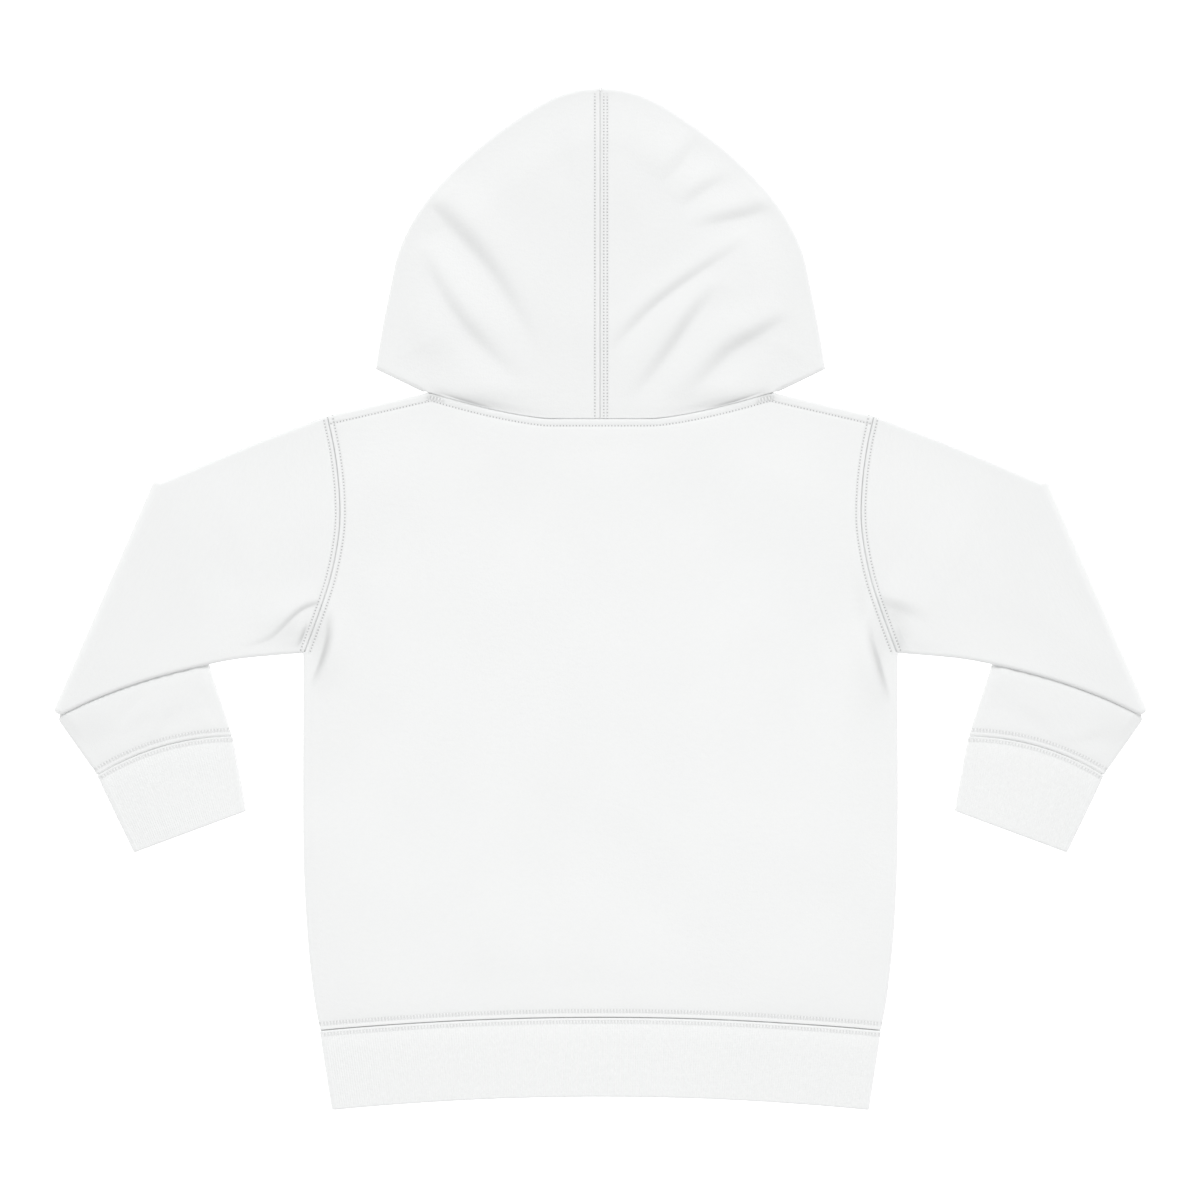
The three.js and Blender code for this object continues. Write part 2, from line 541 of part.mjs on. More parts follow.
// One half of the hood. Its rows run from the centre seam over the back, round the folded edge and in
// underneath to the edge of the face opening. The last row is the end of the centre seam underneath.
function hoodPanel(side) {
  const seam = SEAM_GAP / 2;
  const { half, turn } = FLEECE_STACK;
  const neckCorner = new THREE.Vector3(NECK_SIDE.x, NECK_SIDE.y + SEAM_GAP, 0);
  const sideCorner = new THREE.Vector3(HOOD_CORNER.x, HOOD_CORNER.y, 0);
  const cornerRow = 2;
  const edgePoint = (row) => {
    if (row <= cornerRow) return neckCorner.clone().lerp(sideCorner, row / cornerRow);
    return hoodEdge.getPointAt((row - cornerRow) / (HOOD_ROWS - cornerRow));
  };
  const outwardAt = (row, layer) => {
    if (row === 0) return new THREE.Vector3(...NECK_SIDE_FACING[layer], 0).normalize();
    if (row === HOOD_ROWS) return new THREE.Vector3(0, 1, 0);
    const before = edgePoint(row === cornerRow ? row : Math.max(row - 1, 0));
    const way = new THREE.Vector3().subVectors(edgePoint(row + 1), before).normalize();
    const out = new THREE.Vector3(way.y, -way.x, 0);
    if (row === cornerRow) {
      const low = new THREE.Vector3().subVectors(edgePoint(row), edgePoint(row - 1)).normalize();
      out.add(new THREE.Vector3(low.y, -low.x, 0)).normalize();
    }
    return out;
  };
  const neckMiddle = neckLine(0, "back") + seam;
  const grid = span(0, HOOD_ROWS, HOOD_ROWS).map((row) => {
    const up = row / HOOD_ROWS;
    const isCrown = row === HOOD_ROWS;
    const turnCentreOf = (layer) => {
      const centre = edgePoint(row).addScaledVector(outwardAt(row, layer), -turn);
      centre.x = isCrown ? seam : centre.x;
      return centre;
    };
    const seamPoint = new THREE.Vector3(seam, mix(neckMiddle, CROWN_Y - turn, up), 0);
    const rimPoint = rimEdge.getPointAt(up);
    rimPoint.x = Math.max(rimPoint.x, seam);
    const neckShare = 1 - smooth(row, 0, 3);
    const points = [];
    for (let j = 0; j <= HOOD_ACROSS.back; j++) {
      const share = j / HOOD_ACROSS.back;
      const p = seamPoint.clone().lerp(turnCentreOf("back"), share);
      const curve = neckLine(p.x, "back") - mix(neckLine(0, "back"), NECK_SIDE.y, share);
      p.y = row === 0 ? neckLine(p.x, "back") + seam : p.y + curve * neckShare;
      p.z = half + turn + backSpare(side * p.x, p.y);
      if (isCrown || row === 0) p.facing = new THREE.Vector3(0, 0, 1);
      points.push(p);
    }
    for (const [layer, degrees] of HOOD_TURN) {
      const angle = THREE.MathUtils.degToRad(degrees);
      const out = outwardAt(row, layer);
      const p = turnCentreOf(layer).addScaledVector(out, turn * Math.cos(angle));
      p.z = half + turn * Math.sin(angle);
      p.facing = new THREE.Vector3(out.x * Math.cos(angle), out.y * Math.cos(angle), Math.sin(angle));
      points.push(p);
    }
    for (let j = 0; j <= HOOD_ACROSS.under; j++) {
      const share = j / HOOD_ACROSS.under;
      const p = turnCentreOf("front").lerp(rimPoint, share);
      if (row === 0 && j > 0) p.x = Math.max(NECK_SIDE.x * (1 - share), seam);
      const curve = neckLine(p.x, "front") - mix(NECK_SIDE.y, neckLine(0, "front"), share);
      p.y = row === 0 ? neckLine(p.x, "front") + seam : p.y + curve * neckShare;
      p.z = half - turn;
      if (isCrown || row === 0) p.facing = new THREE.Vector3(0, 0, -1);
      points.push(p);
    }
    return points;
  });
  for (const p of grid.flat()) {
    p.x *= side;
    if (p.facing) p.facing.x *= side;
  }
  return clothWall(grid, FLEECE, { mirrored: side < 0 });
}

// The height of the back layer over where it would lie if it were pressed flat.
function backSpare(x, y) {
  const { half, turn } = FLEECE_STACK;
  return backHeight(x, y) - half - turn * rounded(edgeDistance(x, y), turn);
}

// Finishes: white brushed fleece, and the slightly denser rib.
const fleece = () => new THREE.MeshStandardMaterial({ color: 0xf3f5f4, roughness: 0.95, metalness: 0 });
const rib = () => new THREE.MeshStandardMaterial({ color: 0xf2f4f3, roughness: 0.92, metalness: 0 });

const PIECES = [
  { name: "front_body", shape: () => bodyPanel("front", FRONT_COLUMNS, FRONT_ROWS), finish: fleece },
  { name: "back_body", shape: () => bodyPanel("back", BODY_COLUMNS, BACK_ROWS), finish: fleece },
  { name: "sleeve_left", shape: () => sleeve(-1), finish: fleece },
  { name: "sleeve_right", shape: () => sleeve(1), finish: fleece },
  { name: "cuff_left", shape: () => cuff(-1), finish: rib },
  { name: "cuff_right", shape: () => cuff(1), finish: rib },
  { name: "waistband", shape: waistband, finish: rib },
  { name: "hood_left", shape: () => hoodPanel(-1), finish: fleece },
  { name: "hood_right", shape: () => hoodPanel(1), finish: fleece },
];

const hoodie = new THREE.Group();
for (const piece of PIECES) {
  const mesh = new THREE.Mesh(piece.shape(), piece.finish());
  mesh.name = piece.name;
  hoodie.add(mesh);
}

export default hoodie;
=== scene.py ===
# %% [markdown]
# # A toddler's hoodie, laid out on its front
#
# This lesson dresses the measured frame of a plain white pullover hoodie. It lies face down with its back
# up, the hood spread above the neck and the ends of both sleeves folded underneath. A frame like this one
# could be textured as it stands, but its walls are made of large flat faces. So each cut piece is made
# again here as a fine shell of cloth on the same form, with its folds, seams, ribs and stitches.

import math

import bmesh
import bpy
import numpy as np
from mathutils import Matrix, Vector
from mathutils.bvhtree import BVHTree


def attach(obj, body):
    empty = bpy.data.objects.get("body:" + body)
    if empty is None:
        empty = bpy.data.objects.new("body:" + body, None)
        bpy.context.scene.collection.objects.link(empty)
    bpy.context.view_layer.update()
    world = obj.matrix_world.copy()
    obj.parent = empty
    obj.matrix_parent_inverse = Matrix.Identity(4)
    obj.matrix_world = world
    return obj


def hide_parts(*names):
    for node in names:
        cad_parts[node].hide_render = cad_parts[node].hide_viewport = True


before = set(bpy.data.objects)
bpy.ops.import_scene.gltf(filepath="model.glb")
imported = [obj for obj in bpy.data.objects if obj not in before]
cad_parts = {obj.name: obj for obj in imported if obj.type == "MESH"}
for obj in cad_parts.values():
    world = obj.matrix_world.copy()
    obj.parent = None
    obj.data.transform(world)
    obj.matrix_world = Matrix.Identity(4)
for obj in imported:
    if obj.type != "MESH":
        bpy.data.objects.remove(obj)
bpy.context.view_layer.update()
print("frame nodes:", sorted(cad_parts))

# %% [markdown]
# ## The garment's sizes
#
# A pattern cutter works in millimetres, and so do these tables. Every number is a real size of the hoodie
# as it lies, measured from the middle of its outline: x to the wearer's right, y towards the hood and z up
# from the table. Only half of each outline is written down, because the cut is the same on both sides.

# %% Sizes of the cloth and the cut
MM = 0.001

FLEECE_WALL = 2.0
RIB_WALL = 2.4
EDGE_AIR = 0.6
SEAM_GAP = 0.14
HALF_SEAM = SEAM_GAP / 2
FOLD_AIR = 0.4

NECK_SIDE = (98, 118)
SHOULDER_TIP = (157, 104.5)
UNDERARM = (170, -30)
HEM_SIDE = (160.3, -248)
HEM_ARCH = 7.6
BACK_NECK_DROP = 14.8
BACK_NECK_FLAT = 0.3
BACK_NECK_RISE = 1.4
FRONT_NECK_DROP = 49
FRONT_NECK_RISE = 2.1
SIDE_SEAM = [UNDERARM, (170, -144), (168.9, -173), (166.9, -202), (163.5, -231), HEM_SIDE]
ARMHOLE = [
    SHOULDER_TIP, (152.9, 85), (150.3, 64), (149.8, 44), (151.9, 27), (155.5, 11),
    (160.3, -4), (165.4, -18), UNDERARM,
]
BAND_END_HALF = 153.2
BAND_HEIGHT = 45.3

HOOD_CORNER = (128.2, 132.6)
CROWN_Y = 292.8
HOOD_EDGE = [
    HOOD_CORNER, (124.6, 154.7), (120, 177.7), (114.6, 200.7), (103.1, 223), (83.3, 246),
    (56.4, 268.8), (28, 286.6), (13, 291.5), (0, CROWN_Y),
]
RIM = [
    (0, NECK_SIDE[1] - FRONT_NECK_DROP), (21, 94), (42, 122), (57, 155), (63, 188), (60, 218),
    (46, 246), (25, 264), (0, 271),
]

FOLD_TOP = (252.3, 65.6)
FOLD_UNDER = (309.5, -65.5)
SLEEVE_TOP = [SHOULDER_TIP, (205, 86), FOLD_TOP]
SLEEVE_UNDER = [UNDERARM, (207.3, -33.4), (225.8, -36.8), (260.8, -45.8), (289.5, -56.2), FOLD_UNDER]
INNER_ELBOW = (225.8, -37.7)
CUFF_SEAM_INNER = (212.4, -78.6)
CUFF_SEAM_OUTER = (288.4, -100.6)
CUFF_SEAM_BOW = 5.4
CUFF_END_INNER = (204.4, -122.2)
CUFF_END_OUTER = (266.9, -145.4)
FOREARM_OUTER = (310.3, -69.5)
LIFT_REACH = 45

BODY_LOFT = 2.4
BODY_LOFT_REACH = 60
HOOD_PUFF = 3.6
HOOD_PUFF_REACH = 32
NECK_ROLL_REACH = 60
NECK_ROLL = 2.2
NECK_ROLL_X = 68
NECK_ROLL_SPREAD = 26
FOREARM_LOFT = 1.4
CUFF_LOFT = 0.8
print("chest across, mm:", 2 * UNDERARM[0])
print("back length, mm:", NECK_SIDE[1] - HEM_SIDE[1] + BAND_HEIGHT)

# %% [markdown]
# ## Lines on the cloth
#
# The outline, the seams and the rows of stitches are all lines in the plan of the garment. A curve object
# could hold each one, but sums on points are quicker to reuse: the same line gives the edge of a panel, the
# dip of a seam and the place of every stitch. Each line is a list of points close together, and the helpers
# walk along it, shift it sideways, and measure how far any place on the cloth lies from it.

# %% Helpers for lines
def mix(a, b, share):
    return a + (b - a) * share


def smooth(value, low, high):
    share = np.clip((value - low) / (high - low), 0, 1)
    return share * share * (3 - 2 * share)


def lengths_along(line):
    steps = np.linalg.norm(np.diff(line, axis=0), axis=1)
    return np.concatenate([[0], np.cumsum(steps)])


def at_share(line, share):
    """The points at these shares of a line's length."""
    reach = lengths_along(line)
    place = np.asarray(share, float) * reach[-1]
    return np.stack([np.interp(place, reach, line[:, axis]) for axis in range(line.shape[1])], -1)


def through(points, count=60):
    """A smooth line through a few points, as evenly spaced points (a centripetal Catmull-Rom curve)."""
    p = np.array(points, float)
    p = np.vstack([2 * p[0] - p[1], p, 2 * p[-1] - p[-2]])
    found = []
    for a, b, c, d in zip(p, p[1:], p[2:], p[3:]):
        k0 = 0
        k1 = k0 + np.linalg.norm(b - a) ** 0.5
        k2 = k1 + np.linalg.norm(c - b) ** 0.5
        k3 = k2 + np.linalg.norm(d - c) ** 0.5
        t = np.linspace(k1, k2, 20, endpoint=False)[:, None]
        ab = mix(a, b, (t - k0) / (k1 - k0))
        bc = mix(b, c, (t - k1) / (k2 - k1))
        cd = mix(c, d, (t - k2) / (k3 - k2))
        left = mix(ab, bc, (t - k0) / (k2 - k0))
        right = mix(bc, cd, (t - k1) / (k3 - k1))
        found.append(mix(left, right, (t - k1) / (k2 - k1)))
    found.append(p[-2:-1])
    return at_share(np.vstack(found), np.linspace(0, 1, count + 1))


def shifted(line, distance):
    """The line moved to its left by a distance."""
    way = np.gradient(line, axis=0)
    way /= np.linalg.norm(way, axis=1)[:, None]
    return line + distance * np.stack([-way[:, 1], way[:, 0]], -1)


def from_line(x, y, line):
    """Each place's distance to a line, how far along the nearest point is, and the side (left is 1)."""
    best = np.full(np.shape(x), 1e9)
    along = np.zeros(np.shape(x))
    side = np.ones(np.shape(x))
    reach = lengths_along(line)
    for (ax, ay), (bx, by), start in zip(line, line[1:], reach):
        dx, dy = bx - ax, by - ay
        size = math.hypot(dx, dy)
        share = np.clip(((x - ax) * dx + (y - ay) * dy) / size**2, 0, 1)
        away = np.hypot(x - ax - share * dx, y - ay - share * dy)
        nearer = away < best
        best = np.where(nearer, away, best)
        along = np.where(nearer, start + share * size, along)
        side = np.where(nearer, np.sign(dx * (y - ay) - dy * (x - ax)), side)
    return best, along, side


def neck_line(x, layer):
    """The neck seam's y on the back or front, at a distance from the middle."""
    share = np.minimum(np.abs(x) / NECK_SIDE[0], 1)
    if layer == "front":
        return NECK_SIDE[1] - FRONT_NECK_DROP * (1 - share**FRONT_NECK_RISE)
    rise = np.maximum(0, (share - BACK_NECK_FLAT) / (1 - BACK_NECK_FLAT)) ** BACK_NECK_RISE
    return NECK_SIDE[1] - BACK_NECK_DROP * (1 - rise)


def hem_line(x):
    return HEM_SIDE[1] + HEM_ARCH * (1 - (x / HEM_SIDE[0]) ** 2)


def shoulder_line(x):
    share = (np.abs(x) - NECK_SIDE[0]) / (SHOULDER_TIP[0] - NECK_SIDE[0])
    return mix(NECK_SIDE[1], SHOULDER_TIP[1], share)


armhole_line = through(ARMHOLE)
hood_edge = through(HOOD_EDGE, 90)
rim_line = through(RIM)
under_line = through(SLEEVE_UNDER)
top_line = through(SLEEVE_TOP)
side_line = through(SIDE_SEAM)
lower_hood = np.array([NECK_SIDE, HOOD_CORNER], float)
band_side = np.array([HEM_SIDE, (BAND_END_HALF, HEM_SIDE[1] - BAND_HEIGHT)], float)
across_neck = np.linspace(-NECK_SIDE[0], NECK_SIDE[0], 81)
neck_seam = {layer: np.stack([across_neck, neck_line(across_neck, layer)], -1) for layer in ("back", "front")}
across_hem = np.linspace(-HEM_SIDE[0], HEM_SIDE[0], 41)
hem_seam = np.stack([across_hem, hem_line(across_hem)], -1)
shoulder_seam = np.array([NECK_SIDE, SHOULDER_TIP], float)
hood_seam = np.array([(0, neck_line(0, "back")), (0, CROWN_Y)], float)
FOLDED_EDGES = [lower_hood, hood_edge, shoulder_seam, top_line, under_line, side_line, band_side]
print("armhole length, mm:", round(lengths_along(armhole_line)[-1], 1))

# %% [markdown]
# ## Folds and dips
#
# The cloth isn't flat: the hood keeps the creases it was folded with, the cloth bunches under the arms, and
# every seam pulls it down a little. A cloth simulation could make folds, but not these ones in these places.
# So each crease is laid one by one, as a soft trough with a lip on one side, along a line of a few points.
# Depth and width are its size in the middle, and it fades towards both ends.

# %% The table of creases
# Each row: the line of its steep wall, the wall's height, its half width at its two ends, the side that the
# wall drops to (1 is left of the line, -1 is right), where along it the crease is deepest, how many half
# widths its bulge and trough reach, and how much shade is painted into the cloth's colour there, from 0 to 1.
HOOD_CREASES = [
    ([(-99, 228), (-91, 223.4), (-79, 211.5), (-64, 194), (-53, 177.5), (-42, 158.3), (-34, 138)],
     5.4, (6.6, 4.2), -1, 0.24, 2.3, 0.1),
    ([(-103, 203), (-99.5, 196.7), (-87.3, 174.7), (-74.5, 156.6), (-59.4, 140.4), (-40, 124)],
     3.5, (3.4, 5.6), -1, 0.45, 2.3, 0.05),
    ([(-17, 272), (-17.5, 252), (-18, 234)], 0.9, (3.8, 3.8), -1, 0.5, 2.3, 0.0),
    ([(55, 268), (45, 253), (34, 238)], 2.6, (5.4, 4.6), 1, 0.5, 2.3, 0.0),
    ([(77, 245), (61, 238), (44, 225)], 2.9, (4.8, 4.4), 1, 0.55, 2.3, 0.0),
    ([(102, 226), (92.5, 225.2), (81.7, 222), (68, 218.7), (50, 214)], 3.5, (5.2, 3.6), 1, 0.42, 2.3, 0.1),
    ([(98, 216), (73.4, 200.5), (57, 189.8), (40.5, 178.2), (26.2, 166.5), (9, 148.5), (3, 141)],
     3.1, (2.8, 3.4), 1, 0.62, 2.3, 0.14),
    ([(67, 182.5), (51.5, 163.7), (40.5, 147.3), (30, 133), (16, 114)], 4.6, (5.2, 3.8), 1, 0.42, 2.3, 0.1),
    ([(107, 164.5), (89.9, 154.1), (73.4, 144.5), (57, 128), (41, 112)], 4.5, (3.8, 6.6), 1, 0.42, 2.3, 0.12),
    ([(-112, 172), (-107, 152), (-96, 134)], 0.8, (6.0, 6.0), -1, 0.5, 2.3, 0.0),
    ([(-30, 205), (-26, 180), (-28, 152)], 0.5, (7.0, 7.0), 1, 0.5, 2.3, 0.0),
    ([(10, 262), (20, 236), (24, 210)], 0.6, (6.0, 6.0), 1, 0.5, 2.3, 0.0),
    ([(-60, 109.6), (-76, 114.1), (-93, 119)], 0.8, (0.8, 0.9), 1, 0.5, 3.0, 0.9),
    ([(60, 109.6), (76, 114.1), (93, 119)], 0.8, (0.8, 0.9), -1, 0.5, 3.0, 0.9),
]
BODY_CREASES = [
    ([(-154.8, -4), (-155.2, -14), (-155.8, -22), (-158.2, -32), (-161.6, -41), (-166.5, -51)],
     3.0, (2.4, 1.9), -1, 0.55, 4.0, 1.0),
    ([(153, -8), (155.5, -25), (158.6, -36), (161.8, -47), (166, -60)], 3.0, (2.3, 1.9), 1, 0.58, 4.0, 1.0),
    ([(-60, 84), (-20, 80), (30, 82), (64, 86)], 0.6, (9.0, 9.0), 1, 0.5, 2.3, 0.0),
    ([(-120, 60), (-104, 10), (-112, -50)], 0.4, (16.0, 16.0), 1, 0.5, 2.3, 0.0),
    ([(118, 40), (104, -30), (116, -90)], 0.4, (16.0, 16.0), 1, 0.5, 2.3, 0.0),
    ([(-130, -222), (-60, -214), (20, -216), (120, -220)], 0.7, (12.0, 12.0), -1, 0.5, 2.3, 0.0),
]
SLEEVE_CREASES = [
    ([(-161, -1.2), (-169.8, -4.2), (-176.7, -9.1), (-184, -16.5), (-190, -21.8), (-198, -25), (-208, -27)],
     2.0, (1.5, 1.8), 1, 0.24, 6.0, 0.42),
    ([(-168.6, -13), (-171.3, -20), (-174.6, -29)], 1.6, (1.2, 1.1), 1, 0.5, 2.3, 0.65),
    ([(159, 0.4), (166, -2), (176.8, -5.6), (192, -14)], 2.4, (3.6, 5.4), -1, 0.32, 4.0, 0.05),
    ([(165, -8), (169.5, -16), (173, -24), (178, -32)], 1.5, (1.9, 1.5), 1, 0.55, 3.0, 0.35),
    ([(-196, 62), (-214, 30), (-226, 2)], 0.6, (12.0, 12.0), 1, 0.5, 2.3, 0.0),
    ([(200, 56), (222, 26), (238, -8)], 0.6, (12.0, 12.0), 1, 0.5, 2.3, 0.0),
    ([(-262, 20), (-274, -10), (-288, -34)], 0.6, (9.0, 9.0), 1, 0.5, 2.3, 0.0),
    ([(268, 8), (276, -16), (292, -40)], 0.6, (9.0, 9.0), 1, 0.5, 2.3, 0.0),
]
# Where the cloth bunches up under the arms: the place, how far it spreads along x and y, and its height.
BUNCHES = [
    (-154, -28, 13, 27, 1.9), (156, -36, 12, 26, 1.9), (-180, -14, 20, 15, 1.5), (176, -14, 17, 15, 1.5),
]
# Shade painted into the colour where the cloth is tucked in deep: the place, its spread and its darkness, up
# to 1.
PAINTED_TUCK_SHADE = [
    (-174, -18, 14, 8, 0.3), (-163, -22, 5, 16, 0.2), (168.5, -8, 9, 6, 0.36), (171, -22, 6, 8, 0.36),
    (161, -22, 5, 15, 0.26), (150, 0, 4, 13, 0.14), (-68, 115, 24, 5.5, 0.34), (68, 115, 24, 5.5, 0.34),
    (-95, 116.5, 4.5, 2.6, 0.8), (95, 116.5, 4.5, 2.6, 0.8),
]
# The dip that each seam makes in the back layer: the seam, its depth and its half width.
SEAM_DIPS = [
    (armhole_line, 0.45, 5.5),
    (hem_seam, 0.7, 8.0),
    (neck_seam["back"], 0.5, 6.0),
    (hood_seam, 0.3, 4.5),
]
# Long, low swells that no cloth lies without: their length and direction, where they start, and their height.
SWELLS = [
    (128, 20, 0.3, 0.13), (93, 75, 1.9, 0.09), (61, -38, 4.1, 0.05), (47, 128, 2.6, 0.035),
    (34, 4, 5.2, 0.022), (27, 62, 0.9, 0.014),
]


def on_crease(x, y, line, widths, drop_side, deepest):
    """Distance from a crease's line, in half widths, and how far the crease is grown there, up to 1."""
    path = through(line, 18)
    away, along, side = from_line(x, y, path)
    share = along / lengths_along(path)[-1]
    across = away * side * drop_side / mix(widths[0], widths[1], share)
    warped = share ** (math.log(0.5) / math.log(deepest))
    return across, np.sin(np.pi * np.clip(warped, 0, 1)) ** 1.2


def crease(x, y, line, height, widths, drop_side, deepest, fade, _):
    """The height that one crease adds: a bulge, a steep wall along its line, and a trough."""
    across, grown = on_crease(x, y, line, widths, drop_side, deepest)
    size = np.abs(across)
    wall = size * np.exp(0.5 * (1 - size**2))
    fading = np.exp(-(((size - 1) / fade) ** 2))
    return -height / 2 * np.sign(across) * np.where(size < 1, wall, fading) * grown


def creases(x, y, table):
    return sum(crease(x, y, *row) for row in table)


def mounds(x, y, table):
    return sum(high * np.exp(-(((x - a) / wide) ** 2) - ((y - b) / tall) ** 2)
               for a, b, wide, tall, high in table)


def shades(x, y):
    """The shade painted into the colour of the folds, from 0 to 1."""
    total = mounds(x, y, PAINTED_TUCK_SHADE)
    for line, _, widths, drop_side, deepest, _, shade in HOOD_CREASES + BODY_CREASES + SLEEVE_CREASES:
        if shade:
            across, grown = on_crease(x, y, line, widths, drop_side, deepest)
            total = total + shade * grown * np.exp(-(across**2))
    return np.clip(total, 0, 1)


def swells(x, y, strength=1.0):
    height = 0
    for length, degrees, start, size in SWELLS:
        a = math.radians(degrees)
        height = height + size * np.sin((x * math.cos(a) + y * math.sin(a)) * 2 * math.pi / length + start)
    return strength * height


print("creases laid by hand:", len(HOOD_CREASES) + len(BODY_CREASES) + len(SLEEVE_CREASES))

# %% [markdown]
# ## One height for the whole back layer
#
# The back of the body, the tops of the sleeves and the outside of the hood touch along their seams. If each
# had its own shape, they would gape. So one sum gives the height of the cloth anywhere in the outline: it
# turns round the folded edges, swells where two layers lie loosely, climbs over the folded forearm, and
# takes in the creases and the seams' dips. The layer underneath lies flat on the table.

# %% Heights of the two layers
def stack_of(wall):
    """Half the height of a folded edge, and the radius that the middle of the cloth takes round it."""
    return wall + EDGE_AIR / 2, (wall + EDGE_AIR) / 2


FLEECE_HALF, FLEECE_TURN = stack_of(FLEECE_WALL)
RIB_HALF, RIB_TURN = stack_of(RIB_WALL)


def edge_distance(x, y):
    return np.min([from_line(np.abs(x), y, line)[0] for line in FOLDED_EDGES], axis=0)


def rounded(distance, radius):
    """From 0 at an edge to 1 where the surface is level, as a quarter circle."""
    inside = np.clip(distance, 0, radius) / radius
    return np.sqrt(1 - (1 - inside) ** 2)


fold_across = np.array([FOLD_TOP[1] - INNER_ELBOW[1], INNER_ELBOW[0] - FOLD_TOP[0]])
fold_across = fold_across / np.linalg.norm(fold_across)


def sleeve_lift(x, y):
    below = np.maximum(y, INNER_ELBOW[1]) - FOLD_TOP[1]
    past = (np.abs(x) - FOLD_TOP[0]) * fold_across[0] + below * fold_across[1]
    return (2 * FLEECE_HALF + FOLD_AIR) * smooth(past, -LIFT_REACH, 0)


def seam_dips(x, y):
    total = 0
    for line, depth, width in SEAM_DIPS:
        away = from_line(np.abs(x) if line is armhole_line else x, y, line)[0]
        total = total + depth * np.exp(-((away / width) ** 2))
    return total


def back_height(x, y, seam=0.0):
    """The middle of the back layer. Seam raises it at the outline, where it is sewn to the front."""
    distance = edge_distance(x, y)
    lift = sleeve_lift(x, y)
    settled = 1 - smooth(lift, 0, FLEECE_HALF)
    loft = BODY_LOFT * smooth(distance, 0, BODY_LOFT_REACH) * settled
    above_neck = y - neck_line(x, "back")
    puff = HOOD_PUFF * smooth(distance, 0, HOOD_PUFF_REACH) * smooth(above_neck, 0, NECK_ROLL_REACH)
    roll = smooth(above_neck, 0.3, 6.5) * (1 - smooth(above_neck, 7, 42))
    puff = puff + NECK_ROLL * roll * np.exp(-(((np.abs(x) - NECK_ROLL_X) / NECK_ROLL_SPREAD) ** 2))
    marks = creases(x, y, HOOD_CREASES + BODY_CREASES + SLEEVE_CREASES) + mounds(x, y, BUNCHES)
    marks = marks + swells(x, y) - seam_dips(x, y)
    spare = np.maximum(loft + puff + marks * smooth(distance, 0, 7), 0.35 - EDGE_AIR)
    return lift + FLEECE_HALF + seam + (FLEECE_TURN - seam) * rounded(distance, FLEECE_TURN) + spare


def front_height(x, y, seam=0.0):
    turned = (FLEECE_TURN - seam) * rounded(edge_distance(x, y), FLEECE_TURN)
    return sleeve_lift(x, y) + FLEECE_HALF - seam - turned


print("height at the middle of the back, mm:", round(float(back_height(np.array(0.0), np.array(0.0))), 2))

# %% [markdown]
# ## Rows of stitches
#
# Every seam of a sweatshirt is held open by a row of topstitching beside it. The needle pulls the cloth into
# a fine groove and leaves a hole between each stitch and the next. The rows are lines like the others, each
# shifted from its seam. A panel takes its grooves from them, the finish paints shade into the colour at the
# holes and along the grooves, and the threads are laid along them at the end.

# %% The rows and the relief they press into the cloth
STITCH_PITCH = 1.85
HOOD_ROW_END = 3
GROOVE_DEPTH = 0.3
GROOVE_FLARE = 0.25
BAR_GROOVE_SHARE = 0.5
PULL_DEPTH = 0.1
PULL_REACH = 1.8
ALLOWANCE_RISE = 0.16
DOT_HALF = 0.42


def both_sides(line):
    return [line, line * np.array([-1, 1])]


cuff_chord = np.array([CUFF_SEAM_INNER, CUFF_SEAM_OUTER], float)
cuff_away = np.array([cuff_chord[0, 1] - cuff_chord[1, 1], cuff_chord[1, 0] - cuff_chord[0, 0]])
cuff_away = cuff_away / np.linalg.norm(cuff_away)
across_cuff = np.linspace(0, 1, 31)[:, None]
cuff_bow = cuff_away * CUFF_SEAM_BOW * 4 * across_cuff * (1 - across_cuff)
cuff_seam = mix(cuff_chord[0], cuff_chord[1], across_cuff) + cuff_bow
neck_end = at_share(np.array([(90.5, 113.6), (98.5, 115.7)]), np.linspace(0, 1, 9))
# The centre seam's rows stop short of the crown, so that they don't run over the folded edge.
hood_row = np.array([hood_seam[0], (0, CROWN_Y - HOOD_ROW_END)], float)

ROWS = {
    "armhole_body": both_sides(shifted(armhole_line, -3.1)),
    "armhole_sleeve": both_sides(shifted(armhole_line, 2.3)),
    "neck_back": [shifted(neck_seam["back"], -3.9)],
    "neck_front": [shifted(neck_seam["front"], -3.9)],
    "shoulder": both_sides(shifted(shoulder_seam, -4.3)),
    "neck_end": both_sides(neck_end),
    "hem_body": [shifted(hem_seam, 3.9)],
    "hem_band": [shifted(hem_seam, -2.4)],
    "cuff_sleeve": both_sides(shifted(cuff_seam, 3.3)),
    "cuff_rib": both_sides(shifted(cuff_seam, -2.6)),
    "hood_seam": [shifted(hood_row, distance) for distance in (3.3, -1.9, -3.9)],
    "hood_rim": both_sides(shifted(rim_line, -14)),
}
PANEL_ROWS = {
    "back": ["armhole_body", "neck_back", "shoulder", "hem_body", "neck_end"],
    "front": ["armhole_body", "neck_front", "hem_body"],
}
# On these rows the stitches are bars that lie across the row, as an overlocked seam shows. Half their length.
BARS = {"hem_body": 1.2, "cuff_sleeve": 1.05, "hem_band": 1.0, "cuff_rib": 0.9, "neck_end": 1.3}


def from_rows(x, y, names):
    """Distance to the nearest of some rows, how many stitches along it, and the row's half width."""
    best = np.full(np.shape(x), 99.0)
    count = np.zeros(np.shape(x))
    half = np.full(np.shape(x), DOT_HALF)
    for name, line in [(name, line) for name in names for line in ROWS[name]]:
        away, along, _ = from_line(x, y, line)
        nearer = away < best
        best = np.where(nearer, away, best)
        count = np.where(nearer, along / STITCH_PITCH, count)
        half = np.where(nearer, BARS.get(name, DOT_HALF), half)
    return best, count, half


